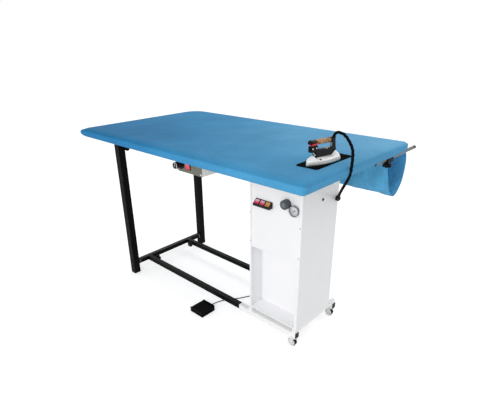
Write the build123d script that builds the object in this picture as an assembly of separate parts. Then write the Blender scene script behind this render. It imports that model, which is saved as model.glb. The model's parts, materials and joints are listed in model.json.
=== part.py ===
from build123d import *
import math
import os

# Vacuum ironing table with steam cabinet, iron, foot switch and linen trough.
# Millimetres, +Z up. The origin lies on the floor under the middle of the
# table and its trough arms. The operator stands at -Y, the cabinet is at +X.

# Clearances and shares used by several pieces
seat_gap = 0.3
running_gap = 0.05
cut_overrun = 1.0
half_share = 0.5
arc_share = 0.45

# Work table
table_length = 1400.0
table_depth = 780.0
underside_height = 830.0
table_thickness = 46.0
left_corner_radius = 70.0
right_corner_radius = 15.0
edge_round = 9.0
cover_thickness = 2.5
hem_width = 14.0
pad_thickness = 10.0
plate_thickness = 1.5
pan_wall = 1.5
pan_rib_count = 3
hole_radius = 8.0
hole_pitch = 100.0
hole_margin = 60.0
suction_radius = 60.0

# Suction fan under the pan
fan_radius = 125.0
fan_height = 70.0
fan_wall = 2.0
outlet_radius = 26.0
outlet_length = 45.0
rotor_radius = 100.0
rotor_plate = 2.0
rotor_lift = 8.0
blade_height = 36.0
blade_thickness = 2.0
blade_count = 8
hub_radius = 14.0
shaft_radius = 5.0
shaft_reach = 30.0
motor_radius = 50.0
motor_height = 75.0

# Left legs and their gusset brackets
leg_size = 38.0
leg_wall = 2.0
leg_left_inset = 102.0
leg_front_inset = 104.0
leg_spacing = 534.6
foot_height = 6.0
foot_plug = 20.0
gusset_reach = 24.0
gusset_height = 38.0
gusset_width = 12.0
gusset_round = 18.0

# Base tubes
tube_size = 25.0
tube_wall = 1.5
tube_height = 51.0
front_tube_inset = 212.0
rear_tube_inset = 524.0
base_tube_length = 347.0
base_overhang = 4.0
cap_thickness = 3.0
cap_plug = 5.0
spigot_length = 40.0
stub_length = 60.0
leg_spigot_length = 30.0
rail_height = 18.0
rail_width = 18.0
bolt_radius = 3.0
bolt_length = 8.0
bolt_head_radius = 5.0
bolt_head_height = 3.5
bolt_inset = 10.0
bolt_edge = 6.0

# Lobed clamp knobs
knob_radius = 20.0
lobe_radius = 7.0
lobe_count = 5
knob_thickness = 14.0
knob_hub_radius = 8.0
knob_hub_length = 8.0
stud_radius = 4.0
star_knob_offset = 47.0

# Casters
wheel_radius = 20.0
wheel_width = 18.0
wheel_edge = 3.0
wheel_side_gap = 1.0
axle_radius = 3.0
fork_wall = 2.5
fork_cheek_radius = 9.0
fork_plate = 5.0
fork_plate_radius = 15.0
caster_trail = 10.0
caster_inset = 14.0
stem_radius = 4.0
stem_length = 14.0

# Cabinet
cabinet_right_inset = 150.0
cabinet_front_inset = 220.0
cabinet_width = 280.0
cabinet_depth = 268.0
sheet = 1.5
left_flange = 10.0
right_flange = 15.0
flange_depth = 5.0
niche_rise = 333.0
niche_depth = 85.0
niche_lip = 6.0
screw_radius = 2.2
screw_length = 9.0
screw_head_radius = 4.5
screw_head_height = 2.2
upper_screw_share = 0.41
lower_screw_share = 0.07

# Rocker console on the cabinet
console_left_inset = 36.0
console_width = 90.0
console_top_inset = 164.8
console_height = 27.0
console_drop = 19.0
console_reach = 25.0
console_top_reach = 2.0
rocker_width = 25.0
rocker_length = 20.0
rocker_pitch = 29.0
rocker_sink = 4.0
rocker_proud = 2.5
rocker_tilt = 8.0
rocker_end_gap = 0.9
pocket_depth = 8.0

# Pressure regulator and gauge
regulator_right_inset = 78.0
regulator_top_inset = 149.8
regulator_radius = 20.5
regulator_length = 27.0
regulator_sides = 10
regulator_shaft_radius = 4.0
regulator_shaft_length = 14.0
gauge_right_inset = 39.0
gauge_top_inset = 170.8
gauge_radius = 23.0
gauge_length = 12.0
gauge_wall = 2.0
gauge_stem_radius = 6.0
gauge_stem_length = 18.0
needle_pin_radius = 1.2
needle_pin_length = 5.0
needle_hub_radius = 3.0
needle_length = 15.0
needle_width = 1.6
needle_thickness = 1.2
needle_lift = 2.5
needle_rest = 225.0
lens_thickness = 1.5

# Glands and grommet on the cabinet's sides
grommet_radius = 6.0
grommet_bore = 3.5
grommet_proud = 2.0
grommet_inset = 144.0
grommet_top_inset = 151.8
hose_entry_inset = 255.0
hose_entry_top_inset = 175.8
hose_nut_radius = 12.0
hose_nut_length = 12.0
hose_sleeve_radius = 9.0
hose_sleeve_length = 38.0
hose_sleeve_back = 2.0
cable_entry_inset = 200.0
cable_entry_rise = 26.0
cable_gland_radius = 6.5
cable_gland_length = 12.0

# Boiler and valve inside the cabinet
boiler_radius = 80.0
boiler_height = 280.0
boiler_round = 20.0
boiler_wall = 3.0
boiler_right_inset = 120.0
boiler_rear_inset = 88.0
neck_radius = 10.0
neck_height = 20.0
valve_width = 34.0
valve_height = 46.0

# Control box under the table's front edge
box_left_inset = 640.0
box_front_inset = 100.0
box_width = 163.0
box_depth = 120.0
box_height = 84.0
box_wall = 1.5
thermostat_left_inset = 25.0
thermostat_rise = 34.0
thermostat_radius = 21.5
thermostat_length = 37.0
thermostat_skirt = 4.0
thermostat_taper = 3.0
thermostat_shaft_radius = 4.0
thermostat_shaft_length = 14.0
main_rocker_left_inset = 53.0
main_rocker_width = 37.0
main_rocker_rise = 15.0
main_rocker_height = 31.0
main_rocker_bezel = 2.5
main_rocker_bezel_proud = 2.0
box_screw_inset = 5.0
box_screw_rise = 9.0

# Iron and its mat
iron_right_inset = 92.0
iron_front_inset = 145.0
iron_length = 178.0
iron_width = 84.0
mat_thickness = 3.5
mat_width = 90.0
mat_length = 241.0
mat_corner = 6.0
mat_lead = 2.3
sole_thickness = 6.0
wall_height = 10.5
wall_draft = 4.0
crown_height = 8.0
crown_inset = 30.0
crown_front_inset = 47.0
crown_front_drop = 0.8
crown_rear_drop = 9.0
nose_width = 14.0
nose_rise = 7.0
nose_length = 9.0
nose_run = 24.0
heel_width = 34.0
heel_length = 30.0
heel_crest = 11.0
heel_edge = 0.5
shoulder_share = 0.72
tip_half_width = 4.0
rear_corner_radius = 30.0
frame_width = 16.0
frame_front_inset = 50.0
frame_lean = 14.0
frame_rise = 29.5
frame_fall = 12.0
block_length = 39.0
block_rear_inset = 55.0
block_sink = 7.0
block_drop = 12.0
grip_front_inset = 46.0
grip_front_height = 78.5
grip_length = 107.0
grip_radius = 9.2
grip_tilt = 4.2
grip_notch = 14.0
grip_tongue_radius = 4.0
grip_tongue_length = 8.0
cap_length = 36.0
cap_edge = 0.7
lever_length = 39.0
lever_thickness = 6.5
lever_lift = 3.4
lever_tip = 3.5
lever_rib_width = 6.0
rear_post_width = 12.0
rear_post_base = 24.0
rear_post_top = 17.0
rear_post_edge = 1.5
iron_relief_radius = 8.0
iron_relief_length = 18.0
relief_drop = 6.0
relief_inset = 8.0

# Foot switch
pedal_left_inset = 679.0
pedal_front_inset = 80.0
pedal_width = 91.0
pedal_depth = 95.0
pedal_base_height = 8.0
pedal_wall = 5.0
pedal_cheek_depth = 14.0
pedal_cheek_height = 21.0
pedal_rear_depth = 12.0
pedal_rear_height = 23.0
treadle_rise = 14.0
treadle_thickness = 8.0
treadle_lip_depth = 6.0
treadle_lip_height = 3.0
treadle_pin_radius = 2.5
treadle_pin_back = 7.0
pedal_chamfer = 9.0

# Linen trough
arm_left_inset = 62.0
arm_right_inset = 30.0
arm_front_inset = 554.0
arm_drop = 18.0
arm_reach = 176.0
arm_radius = 8.0
arm_wall = 1.5
tip_length = 22.0
tip_plug = 14.0
bracket_width = 28.0
bracket_depth = 50.0
bracket_front_inset = 646.0
bracket_skin = 6.0
trough_knob_radius = 19.0
rod_radius = 5.0
front_rod_inset = 708.0
rear_rod_inset = 880.0
cloth_thickness = 2.0
cloth_end_gap = 10.0
trough_depth = 208.0
fold_depth = 5.0
fold_count = 8
wrap_step = 30

# Cords: radii, then routes chosen by hand
hose_radius = 6.0
cable_radius = 2.5
cable_lift = 0.2
hose_exit_run = 12.0
hose_entry_run = 36.0
cable_exit_run = 30.0
cable_entry_run = 22.0

# Main planes worked out from the sizes
table_right = table_length / 2
table_left = -table_length / 2
table_front = -(table_depth + arm_reach) / 2
table_rear = table_front + table_depth
table_top = underside_height + table_thickness
pan_bottom = underside_height + cover_thickness + seat_gap
pad_top = table_top - cover_thickness - seat_gap
pad_bottom = pad_top - pad_thickness
plate_top = pad_bottom - seat_gap
plate_bottom = plate_top - plate_thickness
tube_top = tube_height + tube_size
cabinet_bottom = tube_top + rail_height
cabinet_right = table_right - cabinet_right_inset
cabinet_left = cabinet_right - cabinet_width
cabinet_front = table_front + cabinet_front_inset
cabinet_rear = cabinet_front + cabinet_depth
panel_front = cabinet_front + flange_depth
leg_left = table_left + leg_left_inset
leg_right = leg_left + leg_size
front_leg_front = table_front + leg_front_inset
rear_leg_front = front_leg_front + leg_spacing
tube_inner = tube_size - 2 * tube_wall
spigot_size = tube_inner - 2 * seat_gap
cross_left = leg_left + (leg_size - tube_size) / 2
cross_right = cross_left + tube_size
base_tube_right = cabinet_right + base_overhang - cap_thickness
base_tube_left = base_tube_right - base_tube_length
iron_x = table_right - iron_right_inset
iron_tip = table_front + iron_front_inset
iron_rear = iron_tip + iron_length
sole_bottom = table_top + mat_thickness
arm_height = underside_height - arm_drop


def block(x0, x1, y0, y1, z0, z1):
    """Box between two corners."""
    centre = Pos((x0 + x1) / 2, (y0 + y1) / 2, (z0 + z1) / 2)
    return centre * Box(x1 - x0, y1 - y0, z1 - z0)


def rod_x(x0, x1, y, z, radius):
    """Round bar along X."""
    return Pos((x0 + x1) / 2, y, z) * Rot(0, 90, 0) * Cylinder(radius, x1 - x0)


def rod_y(x, y0, y1, z, radius):
    """Round bar along Y."""
    return Pos(x, (y0 + y1) / 2, z) * Rot(90, 0, 0) * Cylinder(radius, y1 - y0)


def rod_z(x, y, z0, z1, radius):
    """Round bar along Z."""
    return Pos(x, y, (z0 + z1) / 2) * Cylinder(radius, z1 - z0)


def prism_x(points, x0, x1):
    """Solid with a YZ outline between two X planes."""
    outline = Polyline(*[(x0, y, z) for y, z in points], close=True)
    return extrude(make_face(outline), amount=x1 - x0, dir=(1, 0, 0))


def table_slab(inset, z0, z1, top_round=0):
    """Slab with the table's plan, drawn in all round by an inset."""
    plan = Rectangle(table_length - 2 * inset, table_depth - 2 * inset)
    ends = plan.vertices().group_by(Axis.X)
    plan = fillet(ends[0], radius=left_corner_radius - inset)
    right_ends = plan.vertices().filter_by(lambda v: v.X > table_right - inset - right_corner_radius / 2)
    plan = fillet(right_ends, radius=max(right_corner_radius - inset, cover_thickness))
    middle = Pos(0, (table_front + table_rear) / 2, z0)
    slab = extrude(middle * plan, amount=z1 - z0)
    if top_round > 0:
        top_edges = slab.faces().sort_by(Axis.Z)[-1].edges()
        slab = fillet(top_edges, radius=top_round)
    return slab


def make_cover():
    """Padded cloth cover with its hem turned in under the table."""
    outer = table_slab(0, underside_height, table_top, edge_round)
    cavity = table_slab(
        cover_thickness,
        underside_height + cover_thickness,
        table_top - cover_thickness,
        edge_round - cover_thickness,
    )
    mouth = table_slab(
        hem_width, underside_height - cut_overrun, underside_height + cover_thickness + cut_overrun
    )
    return outer - cavity - mouth


def make_pad():
    """Foam pad under the cover."""
    inset = cover_thickness + seat_gap
    return table_slab(inset, pad_bottom, pad_top, edge_round - inset)


def make_work_plate():
    """Perforated plate that lets the suction through."""
    plate = table_slab(cover_thickness + seat_gap, plate_bottom, plate_top)
    columns = int((table_length - 2 * hole_margin) / hole_pitch) + 1
    rows = int((table_depth - 2 * hole_margin) / hole_pitch) + 1
    middle = Pos(0, (table_front + table_rear) / 2, (plate_bottom + plate_top) / 2)
    drill = Cylinder(hole_radius, plate_thickness + 2 * cut_overrun)
    holes = [middle * place * drill for place in GridLocations(hole_pitch, hole_pitch, columns, rows)]
    return plate - holes


def make_pan():
    """Air pan that carries the table, with cross ribs and the fan's inlet."""
    inset = cover_thickness + seat_gap
    pan = table_slab(inset, pan_bottom, plate_bottom)
    pan -= table_slab(inset + pan_wall, pan_bottom + pan_wall, plate_bottom + cut_overrun)
    rib_pitch = table_length / (pan_rib_count + 1)
    centre_y = (table_front + table_rear) / 2
    for index in range(pan_rib_count):
        x = table_left + rib_pitch * (index + 1)
        if abs(x) < suction_radius:
            x = suction_radius + hole_radius
        rib = block(
            x - pan_wall / 2, x + pan_wall / 2,
            table_front + inset + pan_wall, table_rear - inset - pan_wall,
            pan_bottom + pan_wall, plate_bottom,
        )
        pan += rib
    inlet_top = pan_bottom + pan_wall + cut_overrun
    return pan - rod_z(0, centre_y, pan_bottom - cut_overrun, inlet_top, suction_radius)


fan_y = (table_front + table_rear) / 2
fan_bottom = pan_bottom - fan_height
rotor_bottom = fan_bottom + fan_wall + rotor_lift


def make_fan_housing():
    """Open-topped drum with an outlet to the rear."""
    drum = rod_z(0, fan_y, fan_bottom, pan_bottom, fan_radius)
    outlet_z = fan_bottom + fan_height / 2
    outlet_end = fan_y + fan_radius + outlet_length
    drum += rod_y(0, fan_y + fan_radius / 2, outlet_end, outlet_z, outlet_radius)
    drum -= rod_z(0, fan_y, fan_bottom + fan_wall, pan_bottom + cut_overrun, fan_radius - fan_wall)
    drum -= rod_y(0, fan_y + fan_radius / 2, outlet_end + cut_overrun, outlet_z, outlet_radius - fan_wall)
    return drum - rod_z(0, fan_y, fan_bottom - cut_overrun, rotor_bottom, shaft_radius + seat_gap)


def make_fan_rotor():
    """Bladed disc on its shaft."""
    rotor = rod_z(0, fan_y, rotor_bottom, rotor_bottom + rotor_plate, rotor_radius)
    rotor += rod_z(0, fan_y, rotor_bottom, rotor_bottom + rotor_plate + blade_height, hub_radius)
    rotor += rod_z(0, fan_y, fan_bottom - shaft_reach, rotor_bottom + rotor_plate, shaft_radius)
    blade = block(
        hub_radius - rotor_plate, rotor_radius,
        -blade_thickness / 2, blade_thickness / 2,
        rotor_bottom, rotor_bottom + rotor_plate + blade_height,
    )
    for index in range(blade_count):
        rotor += Pos(0, fan_y, 0) * Rot(0, 0, 360 * index / blade_count) * blade
    return rotor


def make_fan_motor():
    """Motor case under the drum, bored for the shaft."""
    case = rod_z(0, fan_y, fan_bottom - motor_height, fan_bottom, motor_radius)
    depth = shaft_reach + seat_gap
    return case - rod_z(
        0, fan_y, fan_bottom - depth, fan_bottom + cut_overrun, shaft_radius + running_gap,
    )


def leg_corners():
    """Front faces of the two left legs."""
    return [front_leg_front, rear_leg_front]


def make_leg(y, spigot_side):
    """Square leg with a welded spigot that enters the cross tube."""
    leg = block(leg_left, leg_right, y, y + leg_size, foot_height, pan_bottom)
    leg -= block(
        leg_left + leg_wall, leg_right - leg_wall,
        y + leg_wall, y + leg_size - leg_wall,
        foot_height - cut_overrun, pan_bottom + cut_overrun,
    )
    margin = (tube_size - spigot_size) / 2
    face = y + leg_size if spigot_side > 0 else y
    ends = sorted([face, face + spigot_side * leg_spigot_length])
    leg += block(
        cross_left + margin, cross_right - margin, ends[0], ends[1],
        tube_height + margin, tube_top - margin,
    )
    for z in (tube_height + bolt_edge, tube_top - bolt_edge):
        bolt_y = face + spigot_side * bolt_inset
        leg -= rod_x(cross_right - bolt_length - seat_gap, cross_right, bolt_y, z, bolt_radius)
    return leg


def make_leg_feet():
    """Plastic foot caps plugged into the legs."""
    inner = leg_wall + seat_gap
    feet = []
    for y in leg_corners():
        pad = block(leg_left, leg_right, y, y + leg_size, 0, foot_height)
        plug = block(
            leg_left + inner, leg_right - inner, y + inner, y + leg_size - inner,
            foot_height - cut_overrun, foot_height + foot_plug,
        )
        feet.append(pad + plug)
    return feet


def make_leg_brackets():
    """Rounded gussets between each leg and the pan."""
    gussets = []
    for y in leg_corners():
        y0 = y + (leg_size - gusset_width) / 2
        gusset = block(
            leg_right, leg_right + gusset_reach, y0, y0 + gusset_width,
            pan_bottom - gusset_height, pan_bottom,
        )
        corner = gusset.edges().filter_by(Axis.Y).sort_by(lambda e: e.center().Z - e.center().X)[0]
        gussets.append(fillet(corner, radius=gusset_round))
    return gussets


def tube_rows():
    """Near sides of the two long tube lines."""
    return [table_front + front_tube_inset, table_front + rear_tube_inset]


def hollow_tube_x(x0, x1, y):
    """Square tube along X on a base line."""
    outer = block(x0, x1, y, y + tube_size, tube_height, tube_top)
    return outer - block(
        x0 - cut_overrun, x1 + cut_overrun, y + tube_wall, y + tube_size - tube_wall,
        tube_height + tube_wall, tube_top - tube_wall,
    )


def spigot_x(x0, x1, y):
    """Inner bar that joins two tubes of a base line."""
    margin = (tube_size - spigot_size) / 2
    return block(x0, x1, y + margin, y + tube_size - margin, tube_height + margin, tube_top - margin)


def make_cross_tube():
    """Tube between the legs with two stubs for the long tubes."""
    y0 = front_leg_front + leg_size
    y1 = rear_leg_front
    tube = block(cross_left, cross_right, y0, y1, tube_height, tube_top)
    tube -= block(
        cross_left + tube_wall, cross_right - tube_wall, y0 - cut_overrun, y1 + cut_overrun,
        tube_height + tube_wall, tube_top - tube_wall,
    )
    for bolt_y in (y0 + bolt_inset, y1 - bolt_inset):
        for z in (tube_height + bolt_edge, tube_top - bolt_edge):
            tube -= rod_x(cross_right - 2 * tube_wall, cross_right + cut_overrun, bolt_y, z, bolt_radius)
    for y in tube_rows():
        tube += spigot_x(cross_right - tube_wall / 2, cross_right + stub_length, y)
    return tube


def make_cross_bolts():
    """Bolts that hold the cross tube on the leg spigots."""
    bolts = []
    for bolt_y in (front_leg_front + leg_size + bolt_inset, rear_leg_front - bolt_inset):
        for z in (tube_height + bolt_edge, tube_top - bolt_edge):
            head_end = cross_right + bolt_head_height
            bolt = rod_x(cross_right - bolt_length, head_end, bolt_y, z, bolt_radius)
            bolt += rod_x(cross_right, head_end, bolt_y, z, bolt_head_radius)
            bolts.append(bolt)
    return bolts


star_x = cross_right + star_knob_offset
star_z = tube_height + tube_size / 2


def make_long_tubes():
    """Dark tubes from the cross tube to the light base tubes."""
    tubes = []
    front, rear = tube_rows()
    for y, wall_y in ((front, front + tube_size - tube_wall), (rear, rear)):
        tube = hollow_tube_x(cross_right, base_tube_left, y)
        hole_end = wall_y + tube_wall + cut_overrun
        tube -= rod_y(star_x, wall_y - cut_overrun, hole_end, star_z, stud_radius + running_gap)
        tubes.append(tube)
    return tubes


def make_base_tubes():
    """Light tubes under the cabinet with welded spigots."""
    tubes = []
    caster_x = base_tube_right + cap_thickness - caster_inset
    for y in tube_rows():
        tube = hollow_tube_x(base_tube_left, base_tube_right, y)
        spigot = spigot_x(base_tube_left - spigot_length, base_tube_left + spigot_length, y)
        weld_margin = (tube_size - spigot_size) / 2
        tube += spigot
        tube += block(
            base_tube_left + weld_margin, base_tube_left + spigot_length,
            y + tube_wall / 2, y + tube_size - tube_wall / 2,
            tube_height + tube_wall / 2, tube_top - tube_wall / 2,
        )
        stem_y = y + tube_size / 2
        tube -= rod_z(
            caster_x, stem_y, tube_height - cut_overrun, tube_height + tube_wall + cut_overrun,
            stem_radius + running_gap,
        )
        tubes.append(tube)
    return tubes


def make_tube_caps():
    """Plugs in the right-hand ends of the base tubes."""
    caps = []
    margin = (tube_size - spigot_size) / 2
    for y in tube_rows():
        cap_right = base_tube_right + cap_thickness
        cap = block(base_tube_right, cap_right, y, y + tube_size, tube_height, tube_top)
        cap += block(
            base_tube_right - cap_plug, base_tube_right + cap_thickness / 2,
            y + margin, y + tube_size - margin, tube_height + margin, tube_top - margin,
        )
        caps.append(cap)
    return caps


def make_base_rails():
    """Cross rails that carry the cabinet on the base tubes."""
    y0 = tube_rows()[0]
    y1 = tube_rows()[1] + tube_size
    return [
        block(x, x + rail_width, y0, y1, tube_top, cabinet_bottom)
        for x in (cabinet_left, cabinet_right - rail_width)
    ]


def lobed_knob(radius, stud_length):
    """Lobed knob on +Z, its hub standing on the XY plane and its stud below."""
    body_base = knob_hub_length
    body_top = knob_hub_length + knob_thickness
    knob = rod_z(0, 0, 0, body_base + knob_thickness / 2, knob_hub_radius)
    knob += rod_z(0, 0, body_base, body_top, radius - lobe_radius)
    for place in PolarLocations(radius - lobe_radius, lobe_count):
        knob += place * rod_z(0, 0, body_base, body_top, lobe_radius)
    knob += rod_z(0, 0, -stud_length, knob_hub_length / 2, stud_radius)
    return knob


def make_star_knob(side):
    """Star knob on a long tube's inner side; side is +1 on the front tube."""
    front, rear = tube_rows()
    y = front + tube_size if side > 0 else rear
    reach = (tube_size - spigot_size) / 2 - running_gap
    seat = Plane(origin=(star_x, y, star_z), x_dir=(0, 0, 1), z_dir=(0, side, 0))
    return seat * lobed_knob(knob_radius, reach)


caster_x = base_tube_right + cap_thickness - caster_inset
wheel_x = caster_x - caster_trail


def make_caster_fork(y):
    """Swivel fork with its stem and axle."""
    top = tube_height - seat_gap
    cheek_inner = wheel_width / 2 + wheel_side_gap
    cheek_outer = cheek_inner + fork_wall
    fork = rod_z(caster_x, y, top - fork_plate, top, fork_plate_radius)
    fork += rod_z(caster_x, y, top - fork_plate, tube_height + stem_length, stem_radius)
    fork += block(
        wheel_x - fork_cheek_radius, caster_x, y - cheek_outer, y + cheek_outer, top - fork_plate, top,
    )
    for side in (-1, 1):
        ends = sorted([y + side * cheek_inner, y + side * cheek_outer])
        fork += block(
            wheel_x - fork_cheek_radius, wheel_x + fork_cheek_radius, ends[0], ends[1],
            wheel_radius, top,
        )
        fork += rod_y(wheel_x, ends[0], ends[1], wheel_radius, fork_cheek_radius)
    fork += rod_y(wheel_x, y - cheek_outer, y + cheek_outer, wheel_radius, axle_radius)
    return fork


def make_caster_wheel(y):
    """Wheel with rounded edges on a running bore."""
    half = wheel_width / 2
    wheel = rod_y(wheel_x, y - half, y + half, wheel_radius, wheel_radius)
    wheel = fillet(wheel.edges().filter_by(GeomType.CIRCLE), radius=wheel_edge)
    reach = half + cut_overrun
    return wheel - rod_y(wheel_x, y - reach, y + reach, wheel_radius, axle_radius + running_gap)


def make_cabinet_shell():
    """Folded sheet cabinet with an open front and two front flanges."""
    shell = block(cabinet_left, cabinet_right, cabinet_front, cabinet_rear, cabinet_bottom, pan_bottom)
    shell -= block(
        cabinet_left + sheet, cabinet_right - sheet, cabinet_front - cut_overrun, cabinet_rear - sheet,
        cabinet_bottom + sheet, pan_bottom - sheet,
    )
    shell += block(
        cabinet_left, cabinet_left + left_flange, cabinet_front, panel_front, cabinet_bottom, pan_bottom,
    )
    shell += block(
        cabinet_right - right_flange, cabinet_right, cabinet_front, panel_front, cabinet_bottom, pan_bottom,
    )
    shell += block(
        cabinet_left, cabinet_right, cabinet_front, cabinet_front + sheet,
        cabinet_bottom, cabinet_bottom + niche_lip,
    )
    for x, z in flange_screws():
        shell -= rod_y(x, cabinet_front - cut_overrun, panel_front + cut_overrun, z, screw_radius)
    for x, y, z, radius in side_holes():
        shell -= rod_x(x - 2 * sheet, x + 2 * sheet, y, z, radius)
    return shell


def flange_screws():
    """Screw places on the front flanges, as X and Z."""
    left = cabinet_left + left_flange * half_share
    right = cabinet_right - right_flange * half_share
    upright = pan_bottom - niche_top
    return [
        (x, niche_top + upright * share)
        for x in (left, right)
        for share in (upper_screw_share, lower_screw_share)
    ]


def side_holes():
    """Holes through the cabinet's sides: X of the face, Y, Z and radius."""
    grommet_hole = (grommet_radius + grommet_bore) / 2
    return [
        (cabinet_right, cabinet_front + grommet_inset, pan_bottom - grommet_top_inset, grommet_hole),
        (cabinet_right, cabinet_front + hose_entry_inset, pan_bottom - hose_entry_top_inset, hose_radius),
        (
            cabinet_left, cabinet_front + cable_entry_inset, cabinet_bottom + cable_entry_rise, cable_radius,
        ),
    ]


niche_top = cabinet_bottom + niche_rise


def make_front_panel():
    """Recessed control panel over the niche."""
    panel = block(
        cabinet_left + sheet + seat_gap, cabinet_right - sheet - seat_gap,
        panel_front, panel_front + sheet, niche_top, pan_bottom - sheet - seat_gap,
    )
    for x, z in flange_screws():
        panel -= rod_y(x, panel_front - cut_overrun, panel_front + sheet + cut_overrun, z, screw_radius)
    panel -= rod_y(
        regulator_x, panel_front - cut_overrun, panel_front + sheet + cut_overrun, regulator_z,
        regulator_shaft_radius + running_gap,
    )
    panel -= rod_y(
        gauge_x, panel_front - cut_overrun, panel_front + sheet + cut_overrun, gauge_z, gauge_stem_radius,
    )
    return panel


def make_niche():
    """Liner of the open niche: floor, back wall and ceiling."""
    x0 = cabinet_left + sheet + seat_gap
    x1 = cabinet_right - sheet - seat_gap
    back = cabinet_front + niche_depth
    floor_z = cabinet_bottom + sheet
    liner = block(x0, x1, panel_front, back + sheet, floor_z, floor_z + sheet)
    liner += block(x0, x1, back, back + sheet, floor_z, niche_top - seat_gap)
    liner += block(x0, x1, panel_front, back + sheet, niche_top - seat_gap - sheet, niche_top - seat_gap)
    return liner


def case_screw(x, y, z, grip):
    """Screw entering a front face along +Y."""
    screw = rod_y(x, y - screw_head_height, y, z, screw_head_radius)
    return screw + rod_y(x, y - screw_head_height, y + grip, z, screw_radius)


def make_case_screws():
    """Screws of the cabinet flanges and of the control box."""
    screws = [case_screw(x, cabinet_front, z, screw_length) for x, z in flange_screws()]
    for x, z in box_screw_places():
        screws.append(case_screw(x, box_front, z, screw_length * half_share))
    return screws


console_left = cabinet_left + console_left_inset
console_top = pan_bottom - console_top_inset
console_slope = math.hypot(console_reach - console_top_reach, console_drop)
slope_y = (console_reach - console_top_reach) / console_slope
slope_z = console_drop / console_slope


def rocker_plane(index):
    """Plane on the console's sloping face at a rocker's pivot."""
    x = console_left + console_width / 2 + (index - 1) * rocker_pitch
    y = panel_front - (console_reach + console_top_reach) / 2
    z = console_top - console_drop / 2
    return Plane(origin=(x, y, z), x_dir=(1, 0, 0), z_dir=(0, -slope_z, slope_y))


def make_console():
    """Wedge-shaped console with three rocker pockets."""
    outline = [
        (panel_front, console_top),
        (panel_front - console_top_reach, console_top),
        (panel_front - console_reach, console_top - console_drop),
        (panel_front - console_reach, console_top - console_height),
        (panel_front, console_top - console_height),
    ]
    console = prism_x(outline, console_left, console_left + console_width)
    pocket = Box(rocker_width + 2 * seat_gap, rocker_length + 2 * rocker_end_gap, 2 * pocket_depth)
    for index in range(3):
        console -= rocker_plane(index) * pocket
    return console


def rocker_body(width, length, sink, proud):
    """Rocker centred on its pivot, with a shallow valley across its top."""
    outline = [
        (-length / 2, -sink), (length / 2, -sink), (length / 2, proud),
        (0, proud * half_share), (-length / 2, proud),
    ]
    return prism_x(outline, -width / 2, width / 2)


def make_console_rocker(index):
    """One of the three console rockers, resting tilted."""
    rocker = rocker_body(rocker_width, rocker_length, rocker_sink, rocker_proud)
    return rocker_plane(index) * Rot(rocker_tilt, 0, 0) * rocker


regulator_x = cabinet_right - regulator_right_inset
regulator_z = pan_bottom - regulator_top_inset


def make_regulator_knob():
    """Many-sided pressure knob on its shaft."""
    back = panel_front - seat_gap
    side_face = RegularPolygon(regulator_radius, regulator_sides)
    seat = Plane(origin=(regulator_x, back, regulator_z), x_dir=(1, 0, 0), z_dir=(0, -1, 0))
    knob = seat * extrude(side_face, amount=regulator_length)
    front_face = knob.faces().sort_by(Axis.Y)[0]
    knob = chamfer(front_face.edges(), length=cover_thickness)
    return knob + rod_y(
        regulator_x, back - cut_overrun, back + regulator_shaft_length, regulator_z, regulator_shaft_radius,
    )


gauge_x = cabinet_right - gauge_right_inset
gauge_z = pan_bottom - gauge_top_inset
gauge_front = panel_front - gauge_length
gauge_floor = panel_front - gauge_wall


def make_gauge_case():
    """Gauge cup with its dial floor, needle pin and rear stem."""
    case = rod_y(gauge_x, gauge_front, panel_front, gauge_z, gauge_radius)
    case -= rod_y(gauge_x, gauge_front - cut_overrun, gauge_floor, gauge_z, gauge_radius - gauge_wall)
    case += rod_y(
        gauge_x, gauge_floor - needle_pin_length, gauge_floor + gauge_wall / 2, gauge_z, needle_pin_radius,
    )
    return case + rod_y(gauge_x, gauge_floor, panel_front + gauge_stem_length, gauge_z, gauge_stem_radius)


def make_gauge_needle():
    """Needle turning on the pin in front of the dial."""
    rear = gauge_floor - needle_lift
    front = rear - needle_thickness
    needle = rod_y(gauge_x, front, rear, gauge_z, needle_hub_radius)
    pointer = block(0, needle_length, front, rear, -needle_width / 2, needle_width / 2)
    needle += Pos(gauge_x, 0, gauge_z) * Rot(0, -needle_rest, 0) * pointer
    return needle - rod_y(
        gauge_x, front - cut_overrun, rear + cut_overrun, gauge_z, needle_pin_radius + running_gap,
    )


def make_gauge_lens():
    """Clear disc in the gauge's mouth."""
    front = gauge_front + seat_gap
    return rod_y(gauge_x, front, front + lens_thickness, gauge_z, gauge_radius - gauge_wall - running_gap)


def make_grommet():
    """Small grommet in the cabinet's right side."""
    y = cabinet_front + grommet_inset
    z = pan_bottom - grommet_top_inset
    neck = grommet_radius / 2 + grommet_bore / 2
    ring = rod_x(cabinet_right, cabinet_right + grommet_proud, y, z, grommet_radius)
    ring += rod_x(cabinet_right - sheet, cabinet_right + grommet_proud, y, z, neck)
    return ring - rod_x(cabinet_right - 2 * sheet, cabinet_right + 2 * grommet_proud, y, z, grommet_bore)


hose_entry = Vector(cabinet_right, cabinet_front + hose_entry_inset, pan_bottom - hose_entry_top_inset)
sleeve_share = Vector(0.434, -0.789, 0.434)
sleeve_direction = sleeve_share.normalized()
sleeve_start = hose_entry + Vector(hose_nut_length - hose_sleeve_back, 0, 0)
hose_lower_end = sleeve_start + sleeve_direction * hose_sleeve_length


def make_hose_gland():
    """Nut on the cabinet's side with a slanting strain relief."""
    nut = rod_x(hose_entry.X, hose_entry.X + hose_nut_length, hose_entry.Y, hose_entry.Z, hose_nut_radius)
    nut += rod_x(hose_entry.X - sheet, hose_entry.X + sheet, hose_entry.Y, hose_entry.Z, hose_radius)
    seat = Plane(origin=sleeve_start, z_dir=sleeve_direction)
    sleeve = seat * Pos(0, 0, hose_sleeve_length / 2) * Cone(
        hose_sleeve_radius, hose_radius + cover_thickness / 2, hose_sleeve_length,
    )
    return nut + sleeve


cable_entry = Vector(cabinet_left, cabinet_front + cable_entry_inset, cabinet_bottom + cable_entry_rise)


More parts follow.
